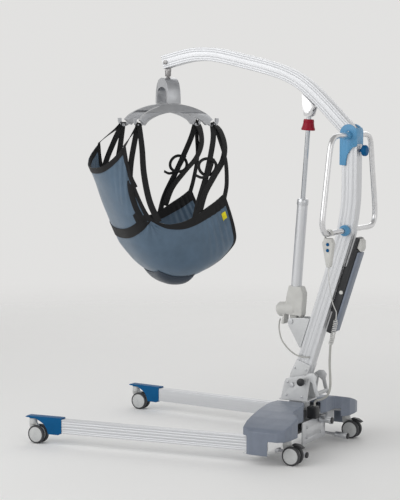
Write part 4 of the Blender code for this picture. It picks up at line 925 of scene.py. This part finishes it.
def strap_set(side, sway):
    """Straps of one side, from the two hooks down to the shoulder, waist, thigh and knee."""
    def p(x, y, z):
        return Vector((x + sway, side * y, z))

    back, front = (-0.1715, 0.0945, 1.3765), (0.1715, 0.0945, 1.3765)
    straps = [
        webbing([p(*back), p(-0.196, 0.114, 1.350), p(-0.232, 0.146, 1.315), p(-0.262, 0.169, 1.283)], 0.024,
                (0.7, 0.0, 0.7), twist=(60.0, 0.0)),
        webbing([p(*back), p(-0.200, 0.125, 1.300), p(-0.230, 0.160, 1.200), p(-0.240, 0.184, 1.110),
                 p(-0.222, 0.194, 1.030), p(-0.188, 0.1995, 0.965)], 0.024, (1.0, 0.0, 0.0),
                twist=(35.0, 0.0)),
        webbing([p(-0.1695, 0.0955, 1.3790), p(-0.170, 0.135, 1.275), p(-0.174, 0.170, 1.165),
                 p(-0.158, 0.195, 1.050), p(-0.120, 0.2045, 0.960)], 0.028, (1.0, 0.0, 0.0),
                twist=(-20.0, 10.0)),
        webbing([p(-0.1730, 0.0950, 1.3780), p(-0.215, 0.136, 1.270), p(-0.236, 0.176, 1.170),
                 p(-0.216, 0.1905, 1.110)], 0.013, (1.0, 0.0, 0.0), twist=(20.0, 0.0)),
        webbing([p(*front), p(0.160, 0.128, 1.300), p(0.112, 0.174, 1.160), p(0.066, 0.202, 1.050),
                 p(0.042, 0.2070, 0.965)], 0.024, (1.0, 0.0, 0.0), twist=(30.0, 0.0)),
        webbing([p(0.1735, 0.0950, 1.3785), p(0.190, 0.126, 1.310), p(0.206, 0.158, 1.220),
                 p(0.200, 0.188, 1.120), p(0.184, 0.1975, 1.050)], 0.020, (1.0, 0.0, 0.0),
                twist=(-25.0, 0.0)),
        webbing([p(0.1695, 0.0935, 1.3800), p(0.200, 0.112, 1.345), p(0.214, 0.130, 1.280),
                 p(0.196, 0.150, 1.215), p(0.146, 0.174, 1.150), p(0.096, 0.194, 1.080),
                 p(0.066, 0.205, 1.000)], 0.036, (0.8, 0.6, 0.0), twist=(0.0, 20.0)),
        webbing([p(0.118, 0.168, 1.190) + Vector((0.040 * math.cos(a), side * 0.006 * math.sin(2 * a),
                                                   0.036 * math.sin(a)))
                 for a in (math.radians(d) for d in range(-90, 271, 30))], 0.013, (0.0, 1.0, 0.0), 0.0026,
                twist=(70.0, 100.0)),
        webbing([p(0.150, 0.162, 1.226), p(0.122, 0.180, 1.166), p(0.086, 0.190, 1.146),
                 p(0.056, 0.186, 1.156)], 0.012, (0.0, 0.3, 1.0), 0.0026),
    ]
    loops = []
    for x in (back[0], front[0]):
        arch = ((-0.010, 1.3640), (-0.0085, 1.3740), (0.0, 1.3792), (0.0085, 1.3740), (0.010, 1.3640))
        loops.append(webbing([p(x + along, 0.0945, high) for along, high in arch], 0.026, (0.0, 1.0, 0.0)))
    return merged(*straps, *loops)


for side, tag, sway in ((-1.0, "left", 0.0), (1.0, "right", -0.004)):
    hung("sling_straps_%s_skin" % tag, strap_set(side, sway), WEBBING, "black_webbing",
                      "sling_straps_" + tag, 40.0)

# ---------------------------------------------------------------- floor, light and camera
floor_mesh = bpy.data.meshes.new("floor")
floor_mesh.from_pydata([(-40, -40, 0), (40, -40, 0), (40, 40, 0), (-40, 40, 0)], [], [(0, 1, 2, 3)])
floor = bpy.data.objects.new("floor", floor_mesh)
bpy.context.scene.collection.objects.link(floor)
paper = Surface("studio_paper", (0.930, 0.930, 0.925), 0.75, specular=0.2)
paper.vary_colour(paper.spread(paper.grain(paper.where(), 3.0, 2.0), 0.0, 1.0), 0.985, 1.015)
floor_mesh.materials.append(paper.mat)
reach = paper.node("ShaderNodeVectorMath", operation="LENGTH")
paper.link(paper.where(), reach.inputs[0])
fade = paper.node("ShaderNodeMapRange", interpolation_type="SMOOTHERSTEP")
for name, value in (("From Min", 1.6), ("From Max", 6.5), ("To Min", 0.0), ("To Max", 1.0)):
    fade.inputs[name].default_value = value
paper.link(reach.outputs["Value"], fade.inputs["Value"])
clear = paper.node("ShaderNodeBsdfTransparent")
mixed = paper.node("ShaderNodeMixShader")
paper.link(fade.outputs["Result"], mixed.inputs[0])
paper.link(paper.shader.outputs["BSDF"], mixed.inputs[1])
paper.link(clear.outputs["BSDF"], mixed.inputs[2])
paper.link(mixed.outputs["Shader"], paper.tree.nodes["Material Output"].inputs["Surface"])

world = bpy.data.worlds.new("studio")
world.use_nodes = True
sky = world.node_tree
backdrop = sky.nodes["Background"]
backdrop.inputs["Color"].default_value = (0.800, 0.795, 0.785, 1.0)
looking = sky.nodes.new("ShaderNodeSeparateXYZ")
sky.links.new(sky.nodes.new("ShaderNodeTexCoord").outputs["Generated"], looking.inputs["Vector"])
ceiling = sky.nodes.new("ShaderNodeMapRange")
ceiling.interpolation_type = "SMOOTHSTEP"
for name, value in (("From Min", 0.30), ("From Max", 0.80), ("To Min", 0.95), ("To Max", 0.50)):
    ceiling.inputs[name].default_value = value
sky.links.new(looking.outputs["Z"], ceiling.inputs["Value"])
sky.links.new(ceiling.outputs["Result"], backdrop.inputs["Strength"])
bpy.context.scene.world = world
bpy.context.scene.view_settings.view_transform = "Standard"


def softbox(name, where, aim, size, power, colour=(1.0, 1.0, 1.0)):
    """Square studio light at a place, turned towards aim."""
    light = bpy.data.lights.new(name, "AREA")
    light.size = size
    light.energy = power
    light.color = colour
    lamp = bpy.data.objects.new(name, light)
    lamp.location = where
    lamp.rotation_euler = (Vector(aim) - Vector(where)).to_track_quat("-Z", "Y").to_euler()
    bpy.context.scene.collection.objects.link(lamp)


# place, aim, side length in metres and power in watts
softbox("key_light", (-1.8, -3.6, 3.4), (-0.1, 0.0, 1.2), 4.6, 92.0)
softbox("fill_light", (4.2, -2.4, 2.6), (0.1, 0.0, 0.9), 3.0, 14.0)
softbox("back_light", (-1.0, 3.8, 3.4), (0.0, 0.0, 0.9), 3.4, 34.0)

camera_data = bpy.data.cameras.new("camera")
camera_data.sensor_width = 36.0
camera_data.lens = 119.2
camera_data.clip_end = 200.0
camera = bpy.data.objects.new("camera", camera_data)
camera.location = Vector((2.78558, -6.33458, 1.51980)) + SHIFT
camera.rotation_euler = (Matrix.Rotation(0.489872, 3, "Z") @ Matrix.Rotation(math.pi / 2 - 0.096272, 3, "X")
                         @ Matrix.Rotation(0.002613, 3, "Z")).to_euler()
bpy.context.scene.collection.objects.link(camera)
bpy.context.scene.camera = camera
